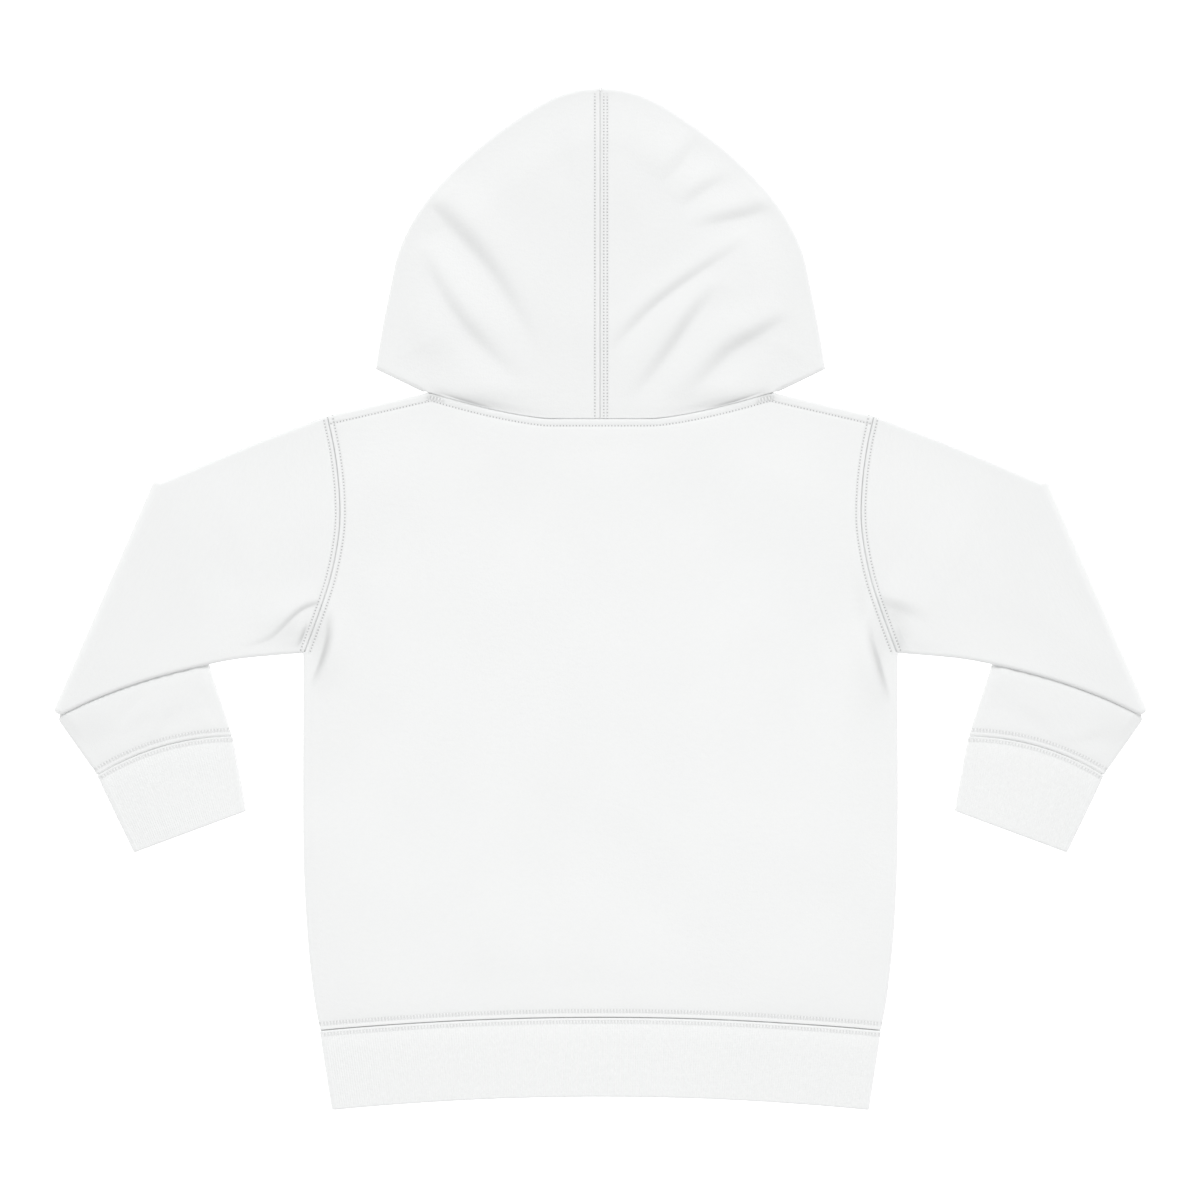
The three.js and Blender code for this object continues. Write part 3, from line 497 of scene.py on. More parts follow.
def pressed(row, seam_distance, row_from_seam):
    """The relief beside a seam: the row's groove, and the allowance that fills out the cloth within it."""
    distance, _, half = row
    depth = np.where(half > DOT_HALF, BAR_GROOVE_SHARE, 1) * GROOVE_DEPTH
    groove = np.exp(-((distance / (half + GROOVE_FLARE)) ** 2))
    pull = np.exp(-((distance / (half + PULL_REACH)) ** 2))
    inside_row = 1 - smooth(seam_distance, row_from_seam - 1.4, row_from_seam - 0.2)
    within = smooth(seam_distance, 0.2, 1.0) * inside_row
    return -depth * groove - PULL_DEPTH * pull + ALLOWANCE_RISE * within


print("rows of stitches:", sum(len(lines) for lines in ROWS.values()))

# %% [markdown]
# ## A shell of cloth
#
# Each piece is a grid of points through the middle of the cloth. Solidify could thicken it, but a sewn piece
# isn't equally thick all over: its cut edge rolls into the seam. So the wall is built directly. The outer
# and inner faces stand off the middle by half the cloth, thinned to a rounded lip near a cut edge, and any
# ribs or grooves are added to the outer face alone. The rims are closed, so every piece is a closed body.

# %% Build a shell from a grid of points
LIP_RADIUS = 0.8
LIP_LEAST = 0.35
LEAN_REACH = 0.5


def thinned(distance):
    """How much of the wall's half thickness is left at a distance from a cut edge."""
    return np.maximum(rounded(distance, LIP_RADIUS), LIP_LEAST)


def leaning(distance, way_x, way_y):
    """How a cut edge leans beside its seam. Both lips lean one way, so no light falls straight through."""
    amount = np.clip(1 - distance / LEAN_REACH, 0, 1) ** 2
    return np.stack(np.broadcast_arrays(amount * way_x, amount * way_y, 0.0), -1)


def unit(v):
    return v / np.maximum(np.linalg.norm(v, axis=-1, keepdims=True), 1e-9)


def facings(grid, closed, flip):
    """Which way the outside of each point faces."""
    if closed:
        across = unit(np.roll(grid, -1, 1) - grid) + unit(grid - np.roll(grid, 1, 1))
    else:
        wide = np.pad(grid, ((0, 0), (1, 1), (0, 0)), mode="edge")
        across = unit(wide[:, 2:] - grid) + unit(grid - wide[:, :-2])
    tall = np.pad(grid, ((1, 1), (0, 0), (0, 0)), mode="edge")
    up = unit(tall[2:] - grid) + unit(grid - tall[:-2])
    return unit(np.cross(across, up)) * (-1 if flip else 1)


def into_scene(name, data):
    """A new object of the scene, from a mesh, a camera or a light."""
    made = bpy.data.objects.new(name, data)
    bpy.context.scene.collection.objects.link(made)
    return made


def shell_faces(rows, columns, closed, flip):
    """The faces of a shell whose outer points come first, row by row, and then its inner ones."""
    at = np.arange(rows * columns).reshape(rows, columns)
    if closed:
        at = np.concatenate([at, at[:, :1]], 1)
    back = rows * columns

    def quads(*corners):
        return np.stack([corner.ravel() for corner in corners], -1)

    faces = [
        quads(at[:-1, :-1], at[:-1, 1:], at[1:, 1:], at[1:, :-1]),
        quads(at[:-1, :-1], at[1:, :-1], at[1:, 1:], at[:-1, 1:]) + back,
    ]
    rims = [(at[0, 1:], at[0, :-1]), (at[-1, :-1], at[-1, 1:])]
    if not closed:
        rims += [(at[:-1, 0], at[1:, 0]), (at[1:, -1], at[:-1, -1])]
    faces = np.concatenate(faces + [quads(near, far, far + back, near + back) for near, far in rims])
    return faces[:, ::-1] if flip else faces


def make_shell(name, grid, wall, closed=False, flip=False, facing=None, thin=1.0, relief=0.0, marks=None,
               lean=0.0):
    """A closed wall round a grid of middle points in mm. Marks are values that its finish reads."""
    rows, columns = grid.shape[:2]
    out = facings(grid, closed, flip)
    if facing is not None:
        out = np.where(np.isnan(facing[..., :1]), out, np.nan_to_num(facing))
    out = unit(out + lean)
    half = wall / 2 * np.broadcast_to(thin, (rows, columns))[..., None]
    outer = grid + out * (half + np.broadcast_to(relief, (rows, columns))[..., None])
    inner = grid - out * half
    points = np.concatenate([outer.reshape(-1, 3), inner.reshape(-1, 3)]) * MM
    mesh = bpy.data.meshes.new(name)
    mesh.from_pydata(points.tolist(), [], shell_faces(rows, columns, closed, flip).tolist())
    for key, values in (marks or {}).items():
        layer = mesh.attributes.new(key, "FLOAT_VECTOR", "POINT")
        flat = np.concatenate([values.reshape(-1, 3)] * 2).astype(np.float32)
        layer.data.foreach_set("vector", flat.ravel())
    fine = bmesh.new()
    fine.from_mesh(mesh)
    bmesh.ops.remove_doubles(fine, verts=fine.verts, dist=2e-6)
    bmesh.ops.dissolve_degenerate(fine, edges=fine.edges, dist=1e-6)
    fine.to_mesh(mesh)
    fine.free()
    mesh.shade_smooth()
    print(name, "faces:", len(mesh.polygons))
    return into_scene(name, mesh)


def knit_marks(u, v, row, shade=0.0):
    """Places along the knit in mm, the shade painted into the colour of folds, and the nearest row of
    stitches.
    """
    return {"knit": np.stack(np.broadcast_arrays(u, v, shade), -1), "row": np.stack(row, -1)}


def spread(length, step, start=(), end=()):
    """Distances from 0 to length, with given ones near each end and an even step between."""
    first = list(start) or [0.0]
    last = [length - d for d in reversed(list(end) or [0.0])]
    middle = np.linspace(first[-1], last[0], max(2, round((last[0] - first[-1]) / step)) + 1)
    return np.array(first[:-1] + list(middle) + last[1:])


# Distances from a seam, from the folds beside it, and from a folded edge where the cloth turns.
SEAM_STEPS = (0, 0.12, 0.28, 0.5, 0.8, 1.15, 1.5, 1.9, 2.3, 2.7, 3.1, 3.5, 3.9, 4.3, 4.8, 5.4, 6.2, 7.2)
FOLD_STEPS = tuple(np.arange(7.9, 26, 0.8))
turn_angles = np.radians([0, 14, 30, 46, 62, 78, 90])
TURN_STEPS = (*(FLEECE_TURN * (1 - math.cos(a)) for a in turn_angles), 2.2, 3.4)
print("points across a seam and its folds:", len(SEAM_STEPS + FOLD_STEPS))

# %% [markdown]
# ## Back and front of the body
#
# The body is two panels cut alike but for the neck. The rows of a panel's grid run from side to side and its
# columns from hem to neck, bent to the outline, so the first and last ones lie exactly in the seams. They
# crowd together beside a seam, where the lip, the allowance and the groove need points. The front panel
# lies underneath. It is flat where it touches the table, so it carries seams but no folds.

# %% Make the two body panels
def half_width(y):
    """Half the body's width, up the side seam and then the armhole."""
    outline = np.vstack([side_line[::-1], armhole_line[::-1][1:]])
    return np.interp(y, outline[:, 1], outline[:, 0])


NECK_FACING = {"back": (0.96, 0.28), "front": (0.72, 0.69)}
SHOULDER_FACING = (0.23, 0.97)
UNDERARM_FACING = (0.5, -0.87)


def facing_round(direction, side, distance, up):
    """Which way cloth faces at a distance from a folded edge, above it (up is 1) or below it (-1)."""
    level = 1 - np.clip(distance / FLEECE_TURN, 0, 1)
    flat = unit(np.array(direction))
    return unit(np.stack([side * flat[0] * level, flat[1] * level, up * rounded(distance, FLEECE_TURN)], -1))


BESIDE_NECK = (-1.4, -0.7, 0, 0.7, 1.4)
AROUND_ARM = (-3.4, -2, -1, -0.4, 0, 0.4, 0.9, 1.6, 2.6, 4)
FOLDS_AROUND_ARM = (*np.arange(-32, -4, 0.95), *AROUND_ARM, *np.arange(4.9, 32, 0.95))
NECK_SHARE = NECK_SIDE[0] / SHOULDER_TIP[0]
PANEL_HEIGHT = SHOULDER_TIP[1] - HEM_SIDE[1]
ARM_HEIGHT = UNDERARM[1] - HEM_SIDE[1]
NECK_PART = 97
SHOULDER_PART = 52
LEAST_COLUMN = 0.004
TOP_STEPS = 26
HAIR = 1e-6


def panel_grid(layer, step):
    """A panel's columns, as shares of its half width, and its rows, as shares of its height."""
    edge = sorted(set(SEAM_STEPS) | set(TURN_STEPS)) + (list(FOLD_STEPS) if layer == "back" else [])
    at_side = [1 - d / UNDERARM[0] for d in edge]
    inner = np.linspace(NECK_SHARE, at_side[-1], round(SHOULDER_PART / step) + 1)[1:-1]
    beside_neck = [NECK_SHARE + d / SHOULDER_TIP[0] for d in BESIDE_NECK]
    inner = inner[inner > beside_neck[-1] + LEAST_COLUMN]
    neck = np.linspace(0, beside_neck[0], round(NECK_PART / step) + 1)[:-1]
    right = np.array([*neck, *beside_neck, *inner, *at_side[::-1]])
    near_arm = ARM_HEIGHT + np.array(FOLDS_AROUND_ARM if layer == "back" else AROUND_ARM)
    low = spread(near_arm[0], step, start=SEAM_STEPS)
    high = near_arm[-1] + spread(PANEL_HEIGHT - near_arm[-1], step, end=edge[:TOP_STEPS])
    up = np.concatenate([low[:-1], near_arm, high[1:]]) / PANEL_HEIGHT
    return np.meshgrid(np.concatenate([-right[:0:-1], right]), up)


def panel_facing(layer, share, up, distance):
    """Which way a panel faces where it turns round an edge. Elsewhere it isn't a number."""
    is_neck = np.abs(share) <= NECK_SHARE + HAIR
    chosen = np.full(share.shape + (3,), np.nan)
    turning = distance < FLEECE_TURN
    below = turning & (up < ARM_HEIGHT / PANEL_HEIGHT - HAIR)
    beside = turning & ~below & (up < 0.9)
    over = turning & (up >= 0.9)
    for where, direction in (
        (below, (1, 0)),
        (beside, UNDERARM_FACING),
        (over & ~is_neck, SHOULDER_FACING),
        (over & is_neck, NECK_FACING[layer]),
    ):
        faces = facing_round(direction, np.sign(share), distance, 1 if layer == "back" else -1)
        chosen[where] = faces[where]
    return chosen


def body_panel(layer, step):
    share, up = panel_grid(layer, step)
    above_arm = up > ARM_HEIGHT / PANEL_HEIGHT + HAIR
    x = share * (half_width(HEM_SIDE[1] + up * PANEL_HEIGHT) - HALF_SEAM * above_arm)
    top_x = share * SHOULDER_TIP[0]
    is_neck = np.abs(share) <= NECK_SHARE + HAIR
    top = np.where(is_neck, neck_line(top_x, layer) - HALF_SEAM, shoulder_line(top_x))
    y = mix(hem_line(share * HEM_SIDE[0]) + HALF_SEAM, top, up)
    z = back_height(x, y, HALF_SEAM) if layer == "back" else front_height(x, y, HALF_SEAM)
    distance = edge_distance(x, y)
    to_hem = from_line(x, y, hem_seam)[0]
    to_neck = from_line(x, y, neck_seam[layer])[0]
    to_arm = from_line(np.abs(x), y, armhole_line)[0]
    turned = FLEECE_TURN * np.arccos(1 - np.clip(distance / FLEECE_TURN, 0, 1))
    to_outline = np.where(distance < FLEECE_TURN, turned, 9)
    to_cut = np.min([to_hem, to_neck, to_arm, to_outline + 0.15], axis=0) - HALF_SEAM
    row = from_rows(x, y, PANEL_ROWS[layer])
    relief = pressed(row, np.min([to_hem, to_neck, to_arm], axis=0), 3.2)
    if layer == "front":
        relief = np.minimum(relief, 0)
    lean = leaning(np.minimum(to_hem, to_neck) - HALF_SEAM, 0, 1)
    lean = lean + leaning(to_arm - HALF_SEAM, -np.sign(share), 0)
    marks = knit_marks(x, y, row, shades(x, y) if layer == "back" else 0.0)
    return make_shell(layer + "_body_cloth", np.stack([x, y, z], -1), FLEECE_WALL, flip=layer == "front",
                      facing=panel_facing(layer, share, up, distance), thin=thinned(to_cut),
                      relief=relief * smooth(to_cut, 0, 1), marks=marks, lean=lean)


back_body = body_panel("back", 2.7)
front_body = body_panel("front", 3.8)

# %% [markdown]
# ## The forearm's form
#
# Below the fold the sleeve comes out from under itself, and its cloth and the cuff's lie in one stack. A
# stack like this could be left to a simulation, but the photograph shows where each edge ends up. So one sum
# again gives the place and height of both: flat underneath, lofted above, and bulging out of the fold.

# %% Lay out the forearm and the cuff
FOREARM_CREASES = [
    ([(-254, -50), (-266, -62), (-278, -76)], 1.3, (2.6, 2.6), -1, 0.45, 2.3, 0.0),
    ([(-242, -56), (-252, -72), (-264, -88)], 0.8, (3.0, 3.0), 1, 0.5, 2.3, 0.0),
    ([(-232, -48), (-228, -62), (-220, -76)], 0.7, (3.0, 3.0), 1, 0.5, 2.3, 0.0),
    ([(238, -58), (252, -70), (268, -84)], 0.7, (4.0, 4.0), -1, 0.5, 2.3, 0.0),
    ([(294, -74), (276, -80), (258, -79)], 0.6, (3.0, 3.0), 1, 0.5, 2.3, 0.0),
]
FOREARM_BULGE = 2.1
FOREARM_SWELL = 0.8
CUFF_DIP = (0.45, 4.5)


def under_edge_y(x):
    return np.interp(x, under_line[:, 0], under_line[:, 1])


def forearm_place(side, inner, outer, share, bow, half, turn, loft_height, shift=0.0):
    """Plan places and heights of forearm or cuff rings, given the ends of each ring."""
    way = outer - inner
    length = np.linalg.norm(way, axis=-1, keepdims=True)
    away = np.stack([-way[..., 1], way[..., 0]], -1) / length
    on = inner + way * share[..., None] + away * (bow * 4 * share * (1 - share) - shift)[..., None]
    x, y = on[..., 0], on[..., 1]
    distance = np.minimum(share, 1 - share) * length[..., 0]
    below_edge = under_edge_y(x) - y
    shown = smooth(below_edge, 2, 22)
    bulge = FOREARM_BULGE * smooth(below_edge, -1.4, 2.2) * (1 - smooth(below_edge, 4, 28))
    loft = loft_height * smooth(distance, 0, length[..., 0] / 3) * shown
    stand = turn * rounded(distance, turn)
    near = smooth(distance, 0, 7)
    marks = creases(side * x, y, FOREARM_CREASES) * near * shown
    dip = CUFF_DIP[0] * np.exp(-((from_line(x, y, cuff_seam)[0] / CUFF_DIP[1]) ** 2)) * near
    marks = marks + (swells(side * x, y, FOREARM_SWELL) * shown + bulge) * near
    top = half + stand + np.maximum(loft + marks - dip, -0.3)
    return x, y, top, half - stand


print("creases on the forearms:", len(FOREARM_CREASES))

# %% [markdown]
# ## Sleeves
#
# A sleeve is one piece of cloth sewn into a tube and pressed flat. Here its lower half is folded under along
# a slanting line, so the forearm comes out below the upper arm. A tube bent by a modifier would crumple at
# such a fold. Instead the tube is built from rings: straight ones down to the fold, a half turn of them
# about the fold line, and then the forearm's rings, which lie upside down on the table.

# %% Make the sleeves
ARM_ACROSS = 130.0
ARM_DOWN = 118.0
FOREARM_DOWN = 85.0
KNIT_ROUND = 120
UNDER_STEPS = (*TURN_STEPS, *np.arange(4.2, 34, 0.9))
SLEEVE_STEP = 2.6


def across_tube(width, top_steps, under_steps, step):
    """Places across a flattened tube, from its top edge to its under edge, as shares of its width."""
    flat = width - top_steps[-1] - under_steps[-1]
    inner = np.linspace(top_steps[-1], width - under_steps[-1], round(flat / step))
    under = [width - d for d in reversed(under_steps[:-1])]
    return np.array([*top_steps[:-1], *inner, *under]) / width


def ring_of(upper, lower):
    """One ring of a tube: the upper layer's points, then the lower layer's back again."""
    return np.concatenate([upper, lower[:, -2:0:-1]], axis=1)


def upper_arm(side, shares):
    """Both layers of the rings from the armhole to the fold, and which way the first ring faces."""
    down = spread(ARM_DOWN, SLEEVE_STEP, start=SEAM_STEPS + FOLD_STEPS) / ARM_DOWN
    share, along = np.meshgrid(shares, down)
    chord = mix(at_share(top_line, along), at_share(under_line, along), share[..., None])
    straight = mix(np.array(SHOULDER_TIP, float), np.array(UNDERARM, float), share[..., None])
    bow = at_share(armhole_line, share) - straight
    plan = chord + bow * (1 - smooth(along, 0, 0.45))[..., None]
    x, y = plan[..., 0] + (1 - along) * SEAM_GAP, plan[..., 1]
    distance = edge_distance(x, y)
    first = (along == 0) & (distance < FLEECE_TURN)
    layers, faces = [], []
    for way, height in ((1, back_height), (-1, front_height)):
        layers.append(np.stack([side * x, y, height(side * x, y)], -1))
        face = np.full(x.shape + (3,), np.nan)
        for part, direction in ((share < 0.5, SHOULDER_FACING), (share >= 0.5, UNDERARM_FACING)):
            face[first & part] = facing_round(direction, side, distance, way)[first & part]
        faces.append(face)
    return layers, faces


def turn_under(side, shares):
    """Both layers of the rings that turn half way round the fold line."""
    share, angle = np.meshgrid(shares, np.radians(np.linspace(90, -90, 13)[1:]))
    ends = np.array([FOLD_TOP, FOLD_UNDER], float)
    length = np.linalg.norm(ends[1] - ends[0])
    outward = np.array([ends[0, 1] - ends[1, 1], ends[1, 0] - ends[0, 0]]) / length
    on = mix(ends[0], ends[1], share[..., None])
    stand = FLEECE_TURN * rounded(np.minimum(share, 1 - share) * length, FLEECE_TURN)
    layers = []
    for way in (1, -1):
        radius = FOLD_AIR / 2 + FLEECE_HALF + way * stand
        x = side * (on[..., 0] + outward[0] * radius * np.cos(angle))
        y = on[..., 1] + outward[1] * radius * np.cos(angle)
        layers.append(np.stack([x, y, 2 * FLEECE_HALF + FOLD_AIR / 2 + radius * np.sin(angle)], -1))
    return layers


def forearm(side, shares):
    """Both layers of the rings from the fold to the cuff. The upper arm's upper layer is beneath here."""
    inner_line = np.array([FOLD_TOP, INNER_ELBOW, CUFF_SEAM_INNER], float)
    outer_line = np.array([FOLD_UNDER, FOREARM_OUTER, CUFF_SEAM_OUTER], float)
    down = spread(FOREARM_DOWN, SLEEVE_STEP, end=SEAM_STEPS)[1:] / FOREARM_DOWN
    share, along = np.meshgrid(shares, down)
    x, y, top, low = forearm_place(side, at_share(inner_line, along), at_share(outer_line, along), share,
                                   along**2 * CUFF_SEAM_BOW, FLEECE_HALF, FLEECE_TURN, FOREARM_LOFT)
    return [np.stack([side * x, y, low], -1), np.stack([side * x, y, top], -1)]


def sleeve(side):
    shares = across_tube(ARM_ACROSS, TURN_STEPS, UNDER_STEPS, SLEEVE_STEP)
    arm, arm_faces = upper_arm(side, shares)
    fold, end = turn_under(side, shares), forearm(side, shares)
    blank = np.full((len(fold[0]) + len(end[0]), len(shares), 3), np.nan)
    grid = ring_of(*[np.concatenate(blocks) for blocks in zip(arm, fold, end)])
    facing = ring_of(*[np.concatenate([face, blank]) for face in arm_faces])
    gx, gy = np.abs(grid[..., 0]), grid[..., 1]
    row_number = np.arange(len(grid))[:, None]
    on_arm = row_number < len(arm[0])
    on_forearm = row_number >= len(arm[0]) + len(fold[0])
    to_arm = np.where(on_arm, from_line(gx, gy, armhole_line)[0] - SEAM_GAP * 0.7, 99)
    to_cuff = np.where(on_forearm, from_line(gx, gy, cuff_seam)[0], 99)
    arm_row = np.array(from_rows(gx, gy, ["armhole_sleeve"]))
    cuff_row = np.array(from_rows(gx, gy, ["cuff_sleeve"]))
    arm_row[0] = np.where(on_arm, arm_row[0], 99)
    cuff_row[0] = np.where(on_forearm, cuff_row[0], 99)
    row = np.where(arm_row[0] < cuff_row[0], arm_row, cuff_row)
    relief = pressed(arm_row, to_arm, 2.3) + pressed(cuff_row, to_cuff, 3.4) * on_forearm
    rests = grid[..., 2] < FLEECE_WALL * 0.6
    relief = np.where(rests, np.minimum(relief, 0), relief)
    round_tube = np.linspace(0, 2, grid.shape[1], endpoint=False)[None, :] * KNIT_ROUND
    down_tube = np.cumsum(np.r_[0, np.linalg.norm(np.diff(grid.mean(1), axis=0), axis=1)])[:, None]
    on_top = on_arm & (np.arange(grid.shape[1])[None, :] < len(shares))
    marks = knit_marks(*np.broadcast_arrays(round_tube, down_tube), row, shades(side * gx, gy) * on_top)
    lean = leaning(to_arm, -side, 0) + leaning(to_cuff, -side * cuff_away[0], -cuff_away[1])
    name = "sleeve_%s_cloth" % ("right" if side > 0 else "left")
    return make_shell(name, grid, FLEECE_WALL, closed=True, flip=side < 0, facing=facing,
                      thin=thinned(np.minimum(to_arm, to_cuff)), relief=relief, marks=marks, lean=lean)


sleeves = {side: sleeve(side) for side in (-1, 1)}

# %% [markdown]
# ## Ribbed cuffs and waistband
#
# The cuffs and the waistband are rib knit, folded double. Its ribs are real ridges about a millimetre and a
# third apart, and they give these parts their dry, lined look even where single ribs can't be told. A bump
# map could draw them, but the light catches real ones at the rounded edges too. Each tube has a whole number
# of ribs round it, with four points to a rib.

# %% Make the cuffs and the waistband
RIB_PITCH = 1.34
RIB_RISE = 0.1
POINTS_PER_RIB = 4
RIB_STEP = 5.0
RIB_SEAM_STEPS = (0, 0.12, 0.4, 0.8, 1.3, 1.9, 2.5, 3.2)
RIB_END_STEPS = (0, 0.1, 0.3, 0.6, 1.0, 1.6, 2.6)
CUFF_HEIGHT = 45.0
CUFF_ROUND = 150.0


def ribbed_tube(name, length, around, place, flip, lean_way):
    """A flattened tube of rib. Place gives the cloth's middle points for shares down it and round it."""
    ribs = round(around / RIB_PITCH)
    columns = ribs * POINTS_PER_RIB
    down = spread(length, RIB_STEP, start=RIB_SEAM_STEPS, end=RIB_END_STEPS) / length
    position, along = np.meshgrid(np.arange(columns) / columns, down)
    grid, to_seam, row = place(along, position)
    phase = np.cos(2 * np.pi * position * ribs)
    to_end = (1 - along) * length
    grown = smooth(to_seam, 0.3, 2.6) * smooth(to_end, 0, 1.2)
    rests = grid[..., 2] < RIB_WALL * 0.55
    ridge = RIB_RISE * (np.sign(phase) * np.abs(phase) ** 0.7 - 1) * grown
    ridge = ridge + 0.05 * np.sin(position * ribs * 0.9 + along * 3) * grown * ~rests
    relief = ridge + np.minimum(pressed(row, to_seam, 1.7), 0)
    thin = np.minimum(thinned(to_seam - SEAM_GAP * 0.7), np.maximum(rounded(to_end, RIB_WALL / 2), 0.05))
    marks = knit_marks(position * around, along * length, row)
    lean = leaning(to_seam - SEAM_GAP * 0.7, *lean_way)
    return make_shell(name, grid, RIB_WALL, closed=True, flip=flip, thin=thin, relief=relief, marks=marks,
                      lean=lean)


def round_profile(position, width, turn):
    """For shares round a flattened tube: how far across it they lie, and how far off its middle."""
    quarter = turn * math.pi / 2
    flat = width - 2 * turn
    one_layer = 2 * quarter + flat
    above = position < 0.5
    walked = np.where(above, position, 1 - position) * 2 * one_layer
    near = np.minimum(walked, one_layer - walked)
    angle = np.clip(near / turn, 0, math.pi / 2)
    inward = np.where(near < quarter, turn * (1 - np.cos(angle)), turn + near - quarter)
    across = np.where(walked < one_layer / 2, inward, width - inward)
    return across, np.sin(angle) * np.where(above, 1, -1)


def cuff(side):
    inner_way = np.array([CUFF_SEAM_INNER, CUFF_END_INNER], float)
    outer_way = np.array([CUFF_SEAM_OUTER, CUFF_END_OUTER], float)

    def place(along, position):
        inner = mix(inner_way[0], inner_way[1], along[..., None])
        outer = mix(outer_way[0], outer_way[1], along[..., None])
        width = np.linalg.norm(outer - inner, axis=-1)
        across, stand = round_profile(position, width, RIB_TURN)
        share = across / width
        shift = (1 - along) * SEAM_GAP * 1.5
        x, y, top, low = forearm_place(side, inner, outer, share, (1 - along) * CUFF_SEAM_BOW,
                                       RIB_HALF, RIB_TURN, CUFF_LOFT, shift)
        z = np.where(stand < 0, top, low)
        return np.stack([side * x, y, z], -1), from_line(x, y, cuff_seam)[0], from_rows(x, y, ["cuff_rib"])

    name = "cuff_%s_rib" % ("right" if side > 0 else "left")
    lean_way = (-side * cuff_away[0], -cuff_away[1])
    return ribbed_tube(name, CUFF_HEIGHT, CUFF_ROUND, place, side < 0, lean_way)


BAND_DIP = (0.75, 4.5)
BAND_SWELL = 1.2
BAND_EASE = 0.985


def waistband_place(along, position):
    half_band = mix(HEM_SIDE[0], BAND_END_HALF, along)
    across, stand = round_profile(position, 2 * half_band, RIB_TURN)
    share = across / (2 * half_band)
    x = (2 * share - 1) * half_band
    y = hem_line((2 * share - 1) * HEM_SIDE[0]) - SEAM_GAP - along * BAND_HEIGHT
    distance = np.minimum(share, 1 - share) * 2 * half_band
    to_seam = SEAM_GAP + along * BAND_HEIGHT
    dip = BAND_DIP[0] * np.exp(-((to_seam / BAND_DIP[1]) ** 2))
    loft = BODY_LOFT * smooth(distance, 0, BODY_LOFT_REACH) * mix(0.9, 0.35, along)
    near = smooth(distance, 0, 7)
    swell = np.maximum(loft + (swells(x, y, BAND_SWELL) - dip) * near, -0.3)
    z = RIB_HALF + RIB_TURN * stand + np.where(stand > 0, swell * np.minimum(stand * 2, 1), 0)
    return np.stack([x, y, z], -1), to_seam, from_rows(x, y, ["hem_band"])


cuffs = {side: cuff(side) for side in (-1, 1)}
band_round = 4 * HEM_SIDE[0] * BAND_EASE
waistband = ribbed_tube("waistband_rib", BAND_HEIGHT, band_round, waistband_place, True, (0, 1))

# %% [markdown]
# ## The hood's folded edge
#
# A hood is cut as two mirror halves, joined by one seam from the neck over the crown to the forehead. Laid
# flat, each half is folded along a line from the end of the neck round to the crown. An even bend would do
# for the cloth, but at the neck the hood has to leave its seam in the way that the body does. So the turn
# starts in a given direction, and swings into the edge's own within a few millimetres.

# %% Follow the folded edge
HOOD_STEP = 1.75
CORNER_ROUND = 4
TURN_SWING = 6
NECK_BLEND = 24


def hood_fold():
    """Shares along the folded edge from neck to crown, its length, its points and the ways out from it."""
    neck_corner = np.array([NECK_SIDE[0], NECK_SIDE[1] + SEAM_GAP])
    hood_corner = np.array(HOOD_CORNER, float)
    lower_edge = mix(neck_corner, hood_corner, np.linspace(0, 1, 20)[:-1, None])
    edge = np.vstack([lower_edge, hood_edge])
    length = lengths_along(edge)[-1]
    corner_share = np.linalg.norm(hood_corner - neck_corner) / length
    rise = spread(length, HOOD_STEP, start=SEAM_STEPS) / length
    rise[np.argmin(np.abs(rise - corner_share))] = corner_share
    near = CORNER_ROUND / length
    way = at_share(edge, np.minimum(rise + near, 1)) - at_share(edge, np.maximum(rise - near, 0))
    outward = unit(np.stack([way[:, 1], -way[:, 0]], -1))
    outward[-1] = (0, 1)
    return rise, length, at_share(edge, rise), outward


hood_rise, fold_length, fold_at, fold_out = hood_fold()


def turn_centre(direction):
    """The middles of the turn round the folded edge, and the ways out, which start in a direction."""
    start = unit(np.array(direction))
    out = unit(mix(start, fold_out, smooth(hood_rise * fold_length, 0, TURN_SWING)[:, None]))
    centre = fold_at - out * FLEECE_TURN
    centre[-1, 0] = HALF_SEAM
    centre[:, 0] = np.maximum(centre[:, 0], HALF_SEAM)
    return centre, out


def bend_to_neck(plan, layer, straight):
    """Bend the lowest rows of a layer from a straight line to the neck seam, in place."""
    neck_part = (1 - smooth(hood_rise * fold_length, 0, NECK_BLEND))[:, None]
    plan[..., 1] += (neck_line(plan[..., 0], layer) - straight[None, :]) * neck_part
    plan[0, :, 1] = neck_line(plan[0, :, 0], layer) + HALF_SEAM


print("folded edge of the hood, mm:", round(fold_length, 1))

# %% [markdown]
# ## The two halves of the hood
#
# Each half runs from the centre seam out to the folded edge, turns under, and comes back in to the rim of
# the face opening. It could be made as two sheets and bridged, but the bridge would show as a crease. So one
# grid makes the whole half: its columns run that way and its rows climb from the neck seam to the crown,
# where they all meet at the end of the centre seam.

# %% Make the hood
BACK_ACROSS = 97.0
UNDER_ACROSS = 60.0
UNDER_STEP = 3.0
RIM_STEPS = (0, 0.14, 0.4, 0.8, 1.4, 2.4)
TURN_DEGREES = (72, 54, 36, 18, 0, -18, -36, -54, -72)


def with_facing(plan, height, up):
    """A layer's points, and which way its lowest and highest rows face."""
    facing = np.full(plan.shape[:2] + (3,), np.nan)
    facing[[0, -1]] = (0, 0, up)
    return np.concatenate([plan, height[..., None]], -1), facing


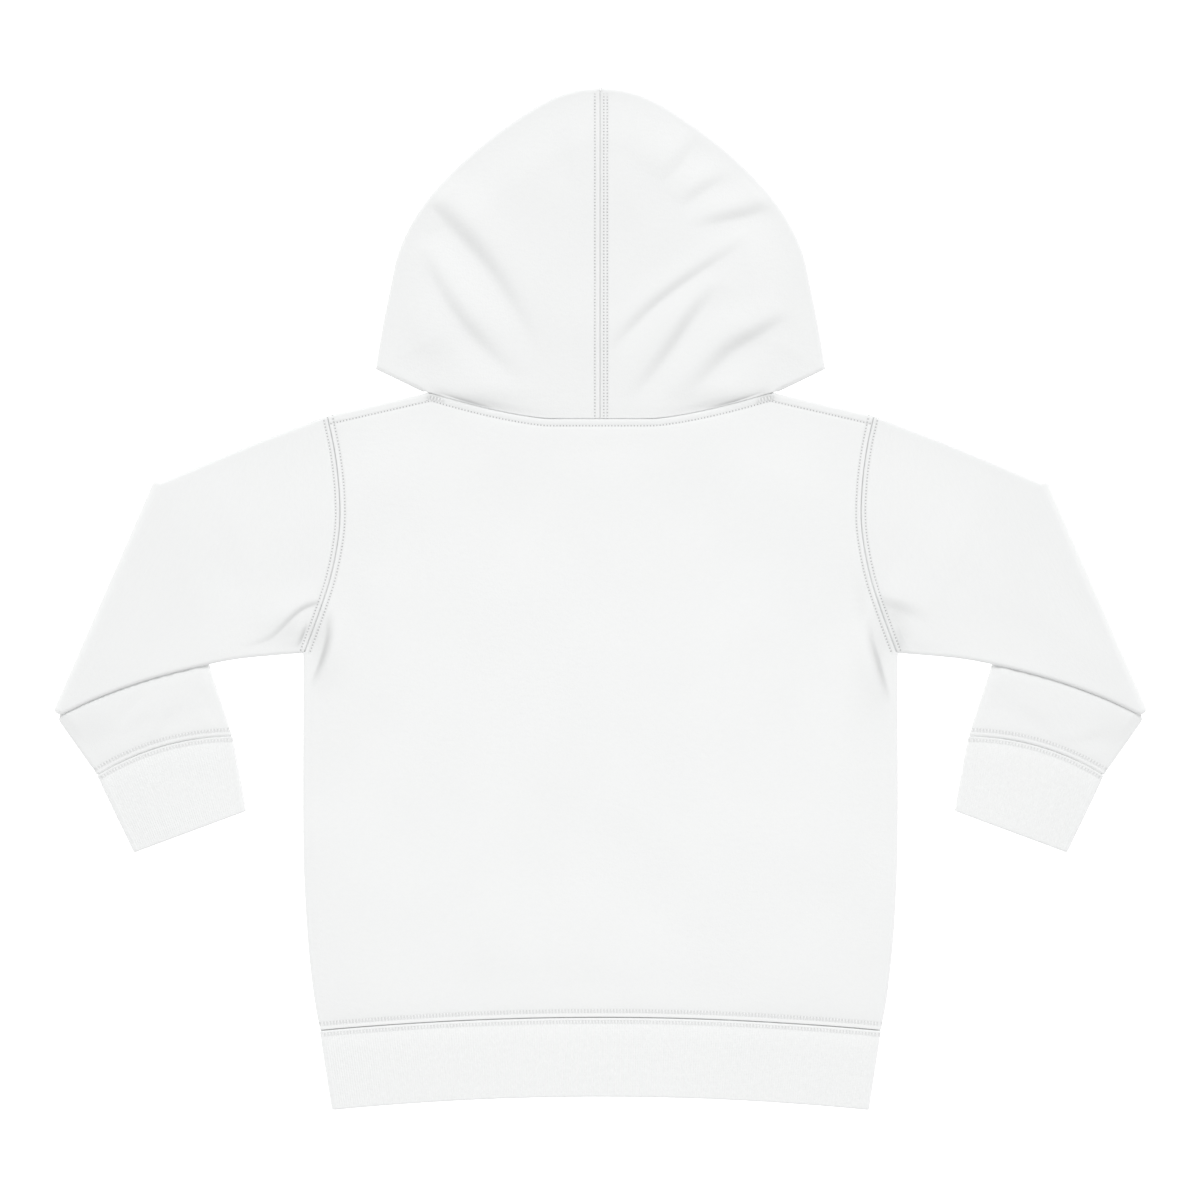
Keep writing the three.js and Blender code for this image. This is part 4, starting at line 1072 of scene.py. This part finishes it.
def hood_back(side):
    """The layer on top, from the centre seam out to the turn."""
    middle_y = mix(neck_line(0.0, "back") + HALF_SEAM, CROWN_Y - FLEECE_TURN, hood_rise)
    seam_at = np.stack([np.full(len(hood_rise), HALF_SEAM), middle_y], -1)
    across = spread(BACK_ACROSS, HOOD_STEP, start=SEAM_STEPS, end=(0, 1.2, 2.6)) / BACK_ACROSS
    plan = mix(seam_at[:, None], turn_centre(NECK_FACING["back"])[0][:, None], across[None, :, None])
    bend_to_neck(plan, "back", mix(neck_line(0.0, "back"), NECK_SIDE[1], across))
    x, y = plan[..., 0], plan[..., 1]
    turned = FLEECE_TURN * rounded(edge_distance(x, y), FLEECE_TURN)
    spare = back_height(side * x, y) - FLEECE_HALF - turned
    return with_facing(plan, FLEECE_HALF + FLEECE_TURN + spare, 1)


def hood_turn():
    """The half turn round the folded edge."""
    places, faces = [], []
    for degrees in TURN_DEGREES:
        angle = math.radians(degrees)
        front, back = np.array(NECK_FACING["front"]), np.array(NECK_FACING["back"])
        centre, out = turn_centre(mix(front, back, (degrees + 90) / 180))
        level = np.full(len(out), FLEECE_HALF + FLEECE_TURN * math.sin(angle))
        places.append(np.column_stack([centre + out * FLEECE_TURN * math.cos(angle), level]))
        faces.append(np.column_stack([out * math.cos(angle), np.full(len(out), math.sin(angle))]))
    return np.stack(places, 1), np.stack(faces, 1)


def hood_under():
    """The layer underneath, from the turn in to the rim of the face opening."""
    rim_at = at_share(rim_line, hood_rise)
    rim_at[:, 0] = np.maximum(rim_at[:, 0], HALF_SEAM)
    inward = spread(UNDER_ACROSS, UNDER_STEP, end=RIM_STEPS) / UNDER_ACROSS
    plan = mix(turn_centre(NECK_FACING["front"])[0][:, None], rim_at[:, None], inward[None, :, None])
    bend_to_neck(plan, "front", mix(NECK_SIDE[1], neck_line(0.0, "front"), inward))
    return with_facing(plan, np.full(plan.shape[:2], FLEECE_HALF - FLEECE_TURN), -1)


def hood_half(side):
    parts = hood_back(side), hood_turn(), hood_under()
    grid, facing = [np.concatenate(blocks, 1) for blocks in zip(*parts)]
    gx, gy = grid[..., 0].copy(), grid[..., 1]
    columns = np.arange(grid.shape[1])[None, :]
    on_back = columns < parts[0][0].shape[1]
    on_under = columns >= grid.shape[1] - parts[2][0].shape[1]
    to_back_neck = from_line(gx, gy, neck_seam["back"])[0]
    to_neck = np.where(on_back, to_back_neck, from_line(gx, gy, neck_seam["front"])[0])
    to_middle = np.where(on_back, gx, 99)
    to_rim = np.where(on_under, from_line(gx, gy, rim_line)[0], 99)
    to_crown = np.where(on_under & (gy > RIM[-1][1] - 4), gx, 99)
    to_cut = np.min([to_neck - HALF_SEAM, to_middle - HALF_SEAM, to_rim, to_crown - HALF_SEAM], axis=0)
    row = np.where(on_under, from_rows(gx, gy, ["hood_rim"]), from_rows(side * gx, gy, ["hood_seam"]))
    relief = pressed(row, to_middle, 3.0)
    relief = np.where(on_under, np.minimum(relief, 0), relief) * smooth(to_cut, 0, 1)
    grid[..., 0] *= side
    facing[..., 0] *= side
    shade = shades(grid[..., 0], gy) * on_back
    marks = knit_marks(grid[..., 0], np.where(on_under, 2 * CROWN_Y - gy, gy), row, shade)
    lean = leaning(to_neck - HALF_SEAM, 0, 1)
    lean = lean + leaning(np.minimum(to_middle, to_crown) - HALF_SEAM, -1, 0)
    name = "hood_%s_cloth" % ("right" if side > 0 else "left")
    return make_shell(name, grid, FLEECE_WALL, flip=side < 0, facing=facing,
                      thin=thinned(to_cut), relief=relief, marks=marks, lean=lean)


hoods = {side: hood_half(side) for side in (-1, 1)}

# %% [markdown]
# ## One stitch
#
# A stitch is a short, fat bit of thread that dives into the cloth at both ends. A curve with a round bevel
# would do, but there are more than two thousand of them. So each is a closed capsule of five small rings,
# bent to the cloth below it: each row of the table is a ring's place along the stitch, its share of the
# thread's radius, and how far it stands above the cloth.

# %% Shape one stitch
THREAD_RADIUS = 0.24
BAR_RADIUS = 0.4
STITCH_SHARE = 0.66
SECTIONS = [(-0.5, 0.4, -0.2), (-0.36, 0.9, -0.03), (0, 1.0, 0.06), (0.36, 0.9, -0.03), (0.5, 0.4, -0.2)]
SIDES = 5
THREAD_FLATNESS = 0.8
TABLE_CLEAR = 0.02


def stitch_places(line, number, bar, random):
    """Where a stitch's rings lie in plan: along its row, or across the row where it is a bar."""
    middle = (number + 0.5 + random.normal(0, 0.02)) * STITCH_PITCH
    reach = STITCH_PITCH * STITCH_SHARE * (1 + random.normal(0, 0.04))
    spots = np.array([section[0] for section in SECTIONS])
    places = at_share(line, (middle + spots * reach) / lengths_along(line)[-1])
    if bar:
        along = unit(places[-1] - places[0])
        lean = unit(np.array([-along[1], along[0]]) + random.normal(0.12, 0.08) * along)
        places = places[2] + spots[:, None] * lean * 2 * bar
    return places + random.normal(0, 0.04, 2)


def stitch_points(places, heights, way, radius):
    """The points of a stitch's rings. Way is 1 where it faces up and -1 where it faces down."""
    along = unit(places[-1] - places[0])
    across = np.array([-along[1], along[0], 0.0])
    points = []
    for (x, y), height, (_, size, rise) in zip(places, heights, SECTIONS):
        centre = np.array([x, y, height + way * rise])
        for angle in np.arange(SIDES) * 2 * math.pi / SIDES:
            offset = across * math.cos(angle) + np.array([0, 0, THREAD_FLATNESS * math.sin(angle)])
            point = centre + offset * radius * size
            point[2] = max(point[2], TABLE_CLEAR)
            points.append(point * MM)
    return points


def stitch_faces(first):
    last = first + (len(SECTIONS) - 1) * SIDES
    ends = [tuple(first + i for i in reversed(range(SIDES))), tuple(last + i for i in range(SIDES))]
    sides = [(a + i, a + (i + 1) % SIDES, a + SIDES + (i + 1) % SIDES, a + SIDES + i)
             for a in range(first, last, SIDES) for i in range(SIDES)]
    return sides + ends


print("points in a stitch:", len(SECTIONS) * SIDES)

# %% [markdown]
# ## Threads
#
# Particles could scatter the stitches, but they have a strict order, so each is placed by counting along its
# row. A ray dropped onto the finished cloth finds the surface under each of its rings. All the stitches of a
# piece are one mesh.

# %% Lay the stitches along their rows
RAY_START = {1: 0.04, -1: -0.02}


def mesh_tree(piece):
    points = np.empty(len(piece.data.vertices) * 3)
    piece.data.vertices.foreach_get("co", points)
    faces = [list(polygon.vertices) for polygon in piece.data.polygons]
    return BVHTree.FromPolygons(points.reshape(-1, 3).tolist(), faces)


def lay_stitches(node, cloth, rows, seed):
    """Stitches along rows. Each row is a line in plan, 1 for the side that faces up or -1 for the other, and
    half the length of its bars, or 0 where the stitches run along it."""
    tree = mesh_tree(cloth)
    random = np.random.default_rng(seed)
    points, faces, count = [], [], 0
    for line, way, bar in rows:
        for number in range(int(lengths_along(line)[-1] / STITCH_PITCH)):
            places = stitch_places(line, number, bar, random)
            down = Vector((0, 0, -way))
            hits = [tree.ray_cast(Vector((x * MM, y * MM, RAY_START[way])), down)[0] for x, y in places]
            if None in hits:
                continue
            faces += stitch_faces(len(points))
            heights = [hit.z / MM for hit in hits]
            points += stitch_points(places, heights, way, BAR_RADIUS if bar else THREAD_RADIUS)
            count += 1
    mesh = bpy.data.meshes.new(node + "_stitches")
    mesh.from_pydata([tuple(point) for point in points], [], faces)
    fine = bmesh.new()
    fine.from_mesh(mesh)
    bmesh.ops.recalc_face_normals(fine, faces=fine.faces)
    fine.to_mesh(mesh)
    fine.free()
    mesh.shade_smooth()
    print(mesh.name, "stitches:", count)
    return into_scene(mesh.name, mesh)


def rows_of(names, ways=(1,), side=0):
    """Rows by name, on one side of the garment or on both (0), with the ways they face and their bars."""
    return [(line, way, BARS.get(name, 0)) for name in names for way in ways for line in ROWS[name]
            if line[len(line) // 2, 0] * side >= 0]


stitches = {
    "back_body": lay_stitches("back_body", back_body, rows_of(PANEL_ROWS["back"]), 1),
    "front_body": lay_stitches("front_body", front_body, rows_of(PANEL_ROWS["front"], (-1,)), 2),
    "waistband": lay_stitches("waistband", waistband, rows_of(["hem_band"], (1, -1)), 3),
}
for side, word in ((-1, "left"), (1, "right")):
    sleeve_rows = rows_of(["armhole_sleeve", "cuff_sleeve"], (1, -1), side)
    cuff_rows = rows_of(["cuff_rib"], (1, -1), side)
    hood_rows = rows_of(["hood_seam"], (1,), side) + rows_of(["hood_rim"], (-1,), side)
    for part, pieces, rows, seed in (
        ("sleeve_", sleeves, sleeve_rows, 5), ("cuff_", cuffs, cuff_rows, 8), ("hood_", hoods, hood_rows, 11),
    ):
        stitches[part + word] = lay_stitches(part + word, pieces[side], rows, seed + side)

# %% [markdown]
# ## Finishes
#
# White cloth is hard to show white: nearly all of its look is in its shading. A photograph of fleece could be
# wrapped over it, but a few noises do as well and can be recoloured. The small class below lets a socket be
# added and multiplied like a number, so a finish reads as a sum. The needle holes and the grooves beside them
# are painted shade, darkened in the colour from the row values that every panel carries, and so are the deep
# folds, from their own values. The holes also dent the bump, and the knit and the fuzz are only a bump.

# %% A class for shader sums
class Shade:
    """The output of a shader node, which adds and multiplies as a number does."""

    def __init__(self, tree, socket=None):
        self.tree, self.socket = tree, socket

    def node(self, kind, settings=(), inputs=(), output=0):
        made = self.tree.nodes.new(kind)
        for key, value in dict(settings).items():
            setattr(made, key, value)
        for key, value in dict(inputs).items():
            if isinstance(value, Shade):
                self.tree.links.new(value.socket, made.inputs[key])
            else:
                made.inputs[key].default_value = value
        return Shade(self.tree, made.outputs[output])

    def math(self, operation, *others):
        return self.node("ShaderNodeMath", {"operation": operation}, enumerate((self, *others)))

    def __add__(self, other):
        return self.math("ADD", other)

    def __mul__(self, other):
        return self.math("MULTIPLY", other)

    def __sub__(self, other):
        return self.math("SUBTRACT", other)

    def __rsub__(self, other):
        return self.math("MULTIPLY", -1) + other

    __radd__ = __add__
    __rmul__ = __mul__


# %% [markdown]
# ## Fleece, rib and thread
#
# The three finishes differ in little but their grain. Brushed fleece is nearly even, with a faint knit. Rib
# is speckled, because its raised wales catch the light. Thread is a little smoother and brighter. A velvet
# shader would be too glossy for cotton, so a soft sheen on the Principled shader gives the pale edge.

# %% Make the finishes
def start_finish(name, roughness, sheen):
    finish = bpy.data.materials.new(name)
    finish.use_nodes = True
    tree = finish.node_tree
    shader = tree.nodes["Principled BSDF"]
    shader.inputs["Roughness"].default_value = roughness
    shader.inputs["Specular IOR Level"].default_value = 0.15
    shader.inputs["Sheen Weight"].default_value = sheen
    shader.inputs["Sheen Roughness"].default_value = 0.5
    return finish, Shade(tree), shader


def end_finish(start, shader, tint, tone, height, bump):
    multiply = {"data_type": "RGBA", "blend_type": "MULTIPLY"}
    colour = start.node("ShaderNodeMix", multiply, {0: 1.0, 6: tint, 7: tone}, 2)
    raised = start.node("ShaderNodeBump", {}, {"Strength": bump, "Distance": 0.001, "Height": height})
    start.tree.links.new(colour.socket, shader.inputs["Base Color"])
    start.tree.links.new(raised.socket, shader.inputs["Normal"])


def noise(start, place, scale, detail=2.0, squeeze=(1, 1, 1)):
    """A noise from 0 to 1 on the cloth. Scale is its number of features per mm."""
    stretched = start.node("ShaderNodeVectorMath", {"operation": "MULTIPLY"}, {0: place, 1: squeeze})
    return start.node("ShaderNodeTexNoise", {}, {"Vector": stretched, "Scale": scale, "Detail": detail})


def ramp(start, value, low, high):
    """1 where the value is low, easing to 0 where it is high."""
    return start.node("ShaderNodeMapRange", {"interpolation_type": "SMOOTHSTEP"},
                      {0: value, 1: low, 2: high, 3: 1.0, 4: 0.0})


# How strong the needle holes' painted shade and their dent in the bump are on bars, against 1 on dots.
BAR_HOLE_SHADE = 0.36


def part_of(start, vector, number):
    return start.node("ShaderNodeSeparateXYZ", {}, {0: vector}, number)


def marks_of(start, name):
    """The values that every panel carries under a name."""
    return start.node("ShaderNodeAttribute", {"attribute_name": name}, {}, 1)


def hole_and_groove_shade(start, place):
    """Masks for the shade painted into the needle holes along the rows of stitches
    and into the soft groove round them, both from 0 to 1.
    """
    row = marks_of(start, "row")
    distance, count, half = [part_of(start, row, number) for number in range(3)]
    from_hole = ((count + 0.5).math("FRACT") - 0.5).math("ABSOLUTE")
    beside = ramp(start, distance - half, -0.2, 0.16)
    between = ramp(start, from_hole, 0.09, 0.27)
    strength = BAR_HOLE_SHADE + (1 - BAR_HOLE_SHADE) * ramp(start, half, DOT_HALF, 0.8)
    uneven = 0.55 + 0.9 * noise(start, place, 0.11, 2.0)
    return beside * between * strength * uneven, ramp(start, distance - half, 0.0, 0.7)


FLEECE_WHITE = (0.814, 0.821, 0.819, 1)
RIB_WHITE = (0.826, 0.833, 0.831, 1)
THREAD_WHITE = (0.84, 0.845, 0.845, 1)
WALE_PITCH = 1.15
COURSE_PITCH = 0.95
LOOP_PITCH = 0.9


def fleece_finish():
    finish, start, shader = start_finish("brushed_fleece", 0.95, 0.07)
    place = marks_of(start, "knit")
    speck = noise(start, place, 0.9, 2.0)
    mottle = noise(start, place, 0.25, 3.0, (1.0, 1.6, 1.0))
    cloud = noise(start, place, 0.02, 1.0)
    across, down, shade = [part_of(start, place, number) for number in range(3)]
    wales = (across * (2 * math.pi / WALE_PITCH)).math("SINE")
    knit = wales * (down * (2 * math.pi / COURSE_PITCH)).math("SINE")
    hole_dent_and_shade, groove = hole_and_groove_shade(start, place)
    tone = 1 + 0.03 * (speck - 0.5) + 0.025 * (mottle - 0.5) + 0.03 * (cloud - 0.5)
    # Painted shade: the colour darkens in the needle holes, along the grooves of the rows and in the deep
    # folds.
    tone = tone * (1 - 0.38 * hole_dent_and_shade) * (1 - 0.03 * groove) * (1 - 0.2 * shade)
    height = 0.16 * speck + 0.2 * mottle + 0.012 * knit - 0.25 * hole_dent_and_shade
    end_finish(start, shader, FLEECE_WHITE, tone, height, 0.5)
    return finish


def rib_finish():
    finish, start, shader = start_finish("cotton_rib", 0.95, 0.07)
    place = marks_of(start, "knit")
    speck = noise(start, place, 0.8, 2.0, (1.0, 0.6, 1.0))
    mottle = noise(start, place, 0.3, 3.0)
    loops = (part_of(start, place, 1) * (2 * math.pi / LOOP_PITCH)).math("SINE")
    hole_dent_and_shade, groove = hole_and_groove_shade(start, place)
    tone = 1 + 0.08 * (speck - 0.5) + 0.05 * (mottle - 0.5)
    # Painted shade: the colour darkens in the needle holes and along the grooves of the rows.
    tone = tone * (1 - 0.36 * hole_dent_and_shade) * (1 - 0.03 * groove)
    height = 0.3 * speck + 0.15 * mottle + 0.03 * loops - 0.2 * hole_dent_and_shade
    end_finish(start, shader, RIB_WHITE, tone, height, 0.6)
    return finish


def thread_finish():
    finish, start, shader = start_finish("sewing_thread", 0.6, 0.1)
    place = start.node("ShaderNodeTexCoord", {}, {}, 3)
    twist = noise(start, place, 2500.0, 1.0)
    end_finish(start, shader, THREAD_WHITE, 1 + 0.05 * (twist - 0.5), 0.05 * twist, 0.3)
    return finish


FLEECE, RIB, THREAD = fleece_finish(), rib_finish(), thread_finish()
print("finishes:", FLEECE.name, RIB.name, THREAD.name)

# %% [markdown]
# ## Which piece is which
#
# Each shell now takes the place of its plain solid and rides on the one body. The table also lists how large
# the cloth was when it was cut, on a tube the size all round, though nothing below reads it. The stitches
# follow the cloth that they hold. A flat garment could be made as one sheet, but then nobody could pull it
# apart to recolour a sleeve.

CUTS = [
    (front_body, "front_body", FLEECE, "fleece", 0.342, 0.366, 0.112, []),
    (back_body, "back_body", FLEECE, "fleece", 0.342, 0.366, 0.1165, ["front_body_cloth"]),
    (sleeves[-1], "sleeve_left", FLEECE, "fleece", 0.272, 0.24, 0.0484, []),
    (sleeves[1], "sleeve_right", FLEECE, "fleece", 0.272, 0.24, 0.0484, []),
    (cuffs[-1], "cuff_left", RIB, "rib", 0.158, 0.045, 0.0068, []),
    (cuffs[1], "cuff_right", RIB, "rib", 0.158, 0.045, 0.0068, []),
    (waistband, "waistband", RIB, "rib", 0.641, 0.046, 0.029, []),
    (hoods[-1], "hood_left", FLEECE, "fleece", 0.222, 0.222, 0.0305, []),
    (hoods[1], "hood_right", FLEECE, "fleece", 0.222, 0.222, 0.0305, []),
]
for cloth, node, finish, slot, width, length, area, on in CUTS:
    thread = stitches[node]
    for piece, material in ((cloth, finish), (thread, THREAD)):
        piece.data.materials.append(material)
        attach(piece, "root")
    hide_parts(node)
print("cloth pieces:", len(CUTS))

# %% [markdown]
# ## Table, camera and light
#
# The hoodie was laid on white and taken from straight above. A long lens from three metres up keeps the
# edges true, where an orthographic camera would lose even that slight depth. White on white only reads by
# soft shade, so most light comes from all round, as from the walls of a white tent, and a large lamp above
# the hood gives the folds their darker upper sides.

# %% Set the table, the camera and the light
FRAME_ACROSS = 0.69
CAMERA_PLACE = (-0.0003, -0.0006, 3.0)
TABLE_HALF = 4
TABLE_UNDER = 0.0001
TABLE_GLOW = 0.64
LAMP_PLACE = (0.6, 7.5, 14.1)
LAMP_ACROSS = 6.0
LAMP_WATTS = 1140
POOL_PLACE = (0, -0.1, 3.0)
POOL_DEGREES = 9.5
POOL_WATTS = 62
TENT_STRENGTH = 0.677

corners = [(x * TABLE_HALF, y * TABLE_HALF, -TABLE_UNDER) for x, y in ((-1, -1), (1, -1), (1, 1), (-1, 1))]
floor_mesh = bpy.data.meshes.new("table")
floor_mesh.from_pydata(corners, [], [(0, 1, 2, 3)])
floor = into_scene("table", floor_mesh)
floor_finish = bpy.data.materials.new("white_table")
floor_finish.use_nodes = True
floor_shader = floor_finish.node_tree.nodes["Principled BSDF"]
floor_shader.inputs["Base Color"].default_value = (0.93, 0.93, 0.93, 1)
floor_shader.inputs["Roughness"].default_value = 1.0
floor_shader.inputs["Specular IOR Level"].default_value = 0.0
floor_shader.inputs["Emission Color"].default_value = (1, 1, 1, 1)
floor_shader.inputs["Emission Strength"].default_value = TABLE_GLOW
floor_mesh.materials.append(floor_finish)

lens = bpy.data.cameras.new("camera")
lens.sensor_width = 36
lens.lens = lens.sensor_width * CAMERA_PLACE[2] / FRAME_ACROSS
lens.clip_start, lens.clip_end = 0.1, 50
lens.dof.use_dof = False
camera = into_scene("camera", lens)
camera.location = CAMERA_PLACE
bpy.context.scene.camera = camera

lamp_data = bpy.data.lights.new("large_lamp", "AREA")
lamp_data.shape = "DISK"
lamp_data.size = LAMP_ACROSS
lamp_data.energy = LAMP_WATTS
lamp = into_scene("large_lamp", lamp_data)
lamp.location = LAMP_PLACE
lamp.rotation_mode = "QUATERNION"
lamp.rotation_quaternion = (Vector((0, 0, 0)) - lamp.location).to_track_quat("-Z", "Y")

# A weak pool of light keeps the middle of the back the brightest, as in the photograph.
pool_data = bpy.data.lights.new("pool_of_light", "SPOT")
pool_data.energy = POOL_WATTS
pool_data.spot_size = math.radians(POOL_DEGREES)
pool_data.spot_blend = 1.0
pool_data.shadow_soft_size = 0.3
pool = into_scene("pool_of_light", pool_data)
pool.location = POOL_PLACE

tent = bpy.data.worlds.new("white_tent")
tent.use_nodes = True
tent.node_tree.nodes["Background"].inputs["Color"].default_value = (1, 1, 1, 1)
tent.node_tree.nodes["Background"].inputs["Strength"].default_value = TENT_STRENGTH
bpy.context.scene.world = tent
bpy.context.scene.view_settings.view_transform = "Standard"
print("lens, mm:", round(lens.lens, 1))
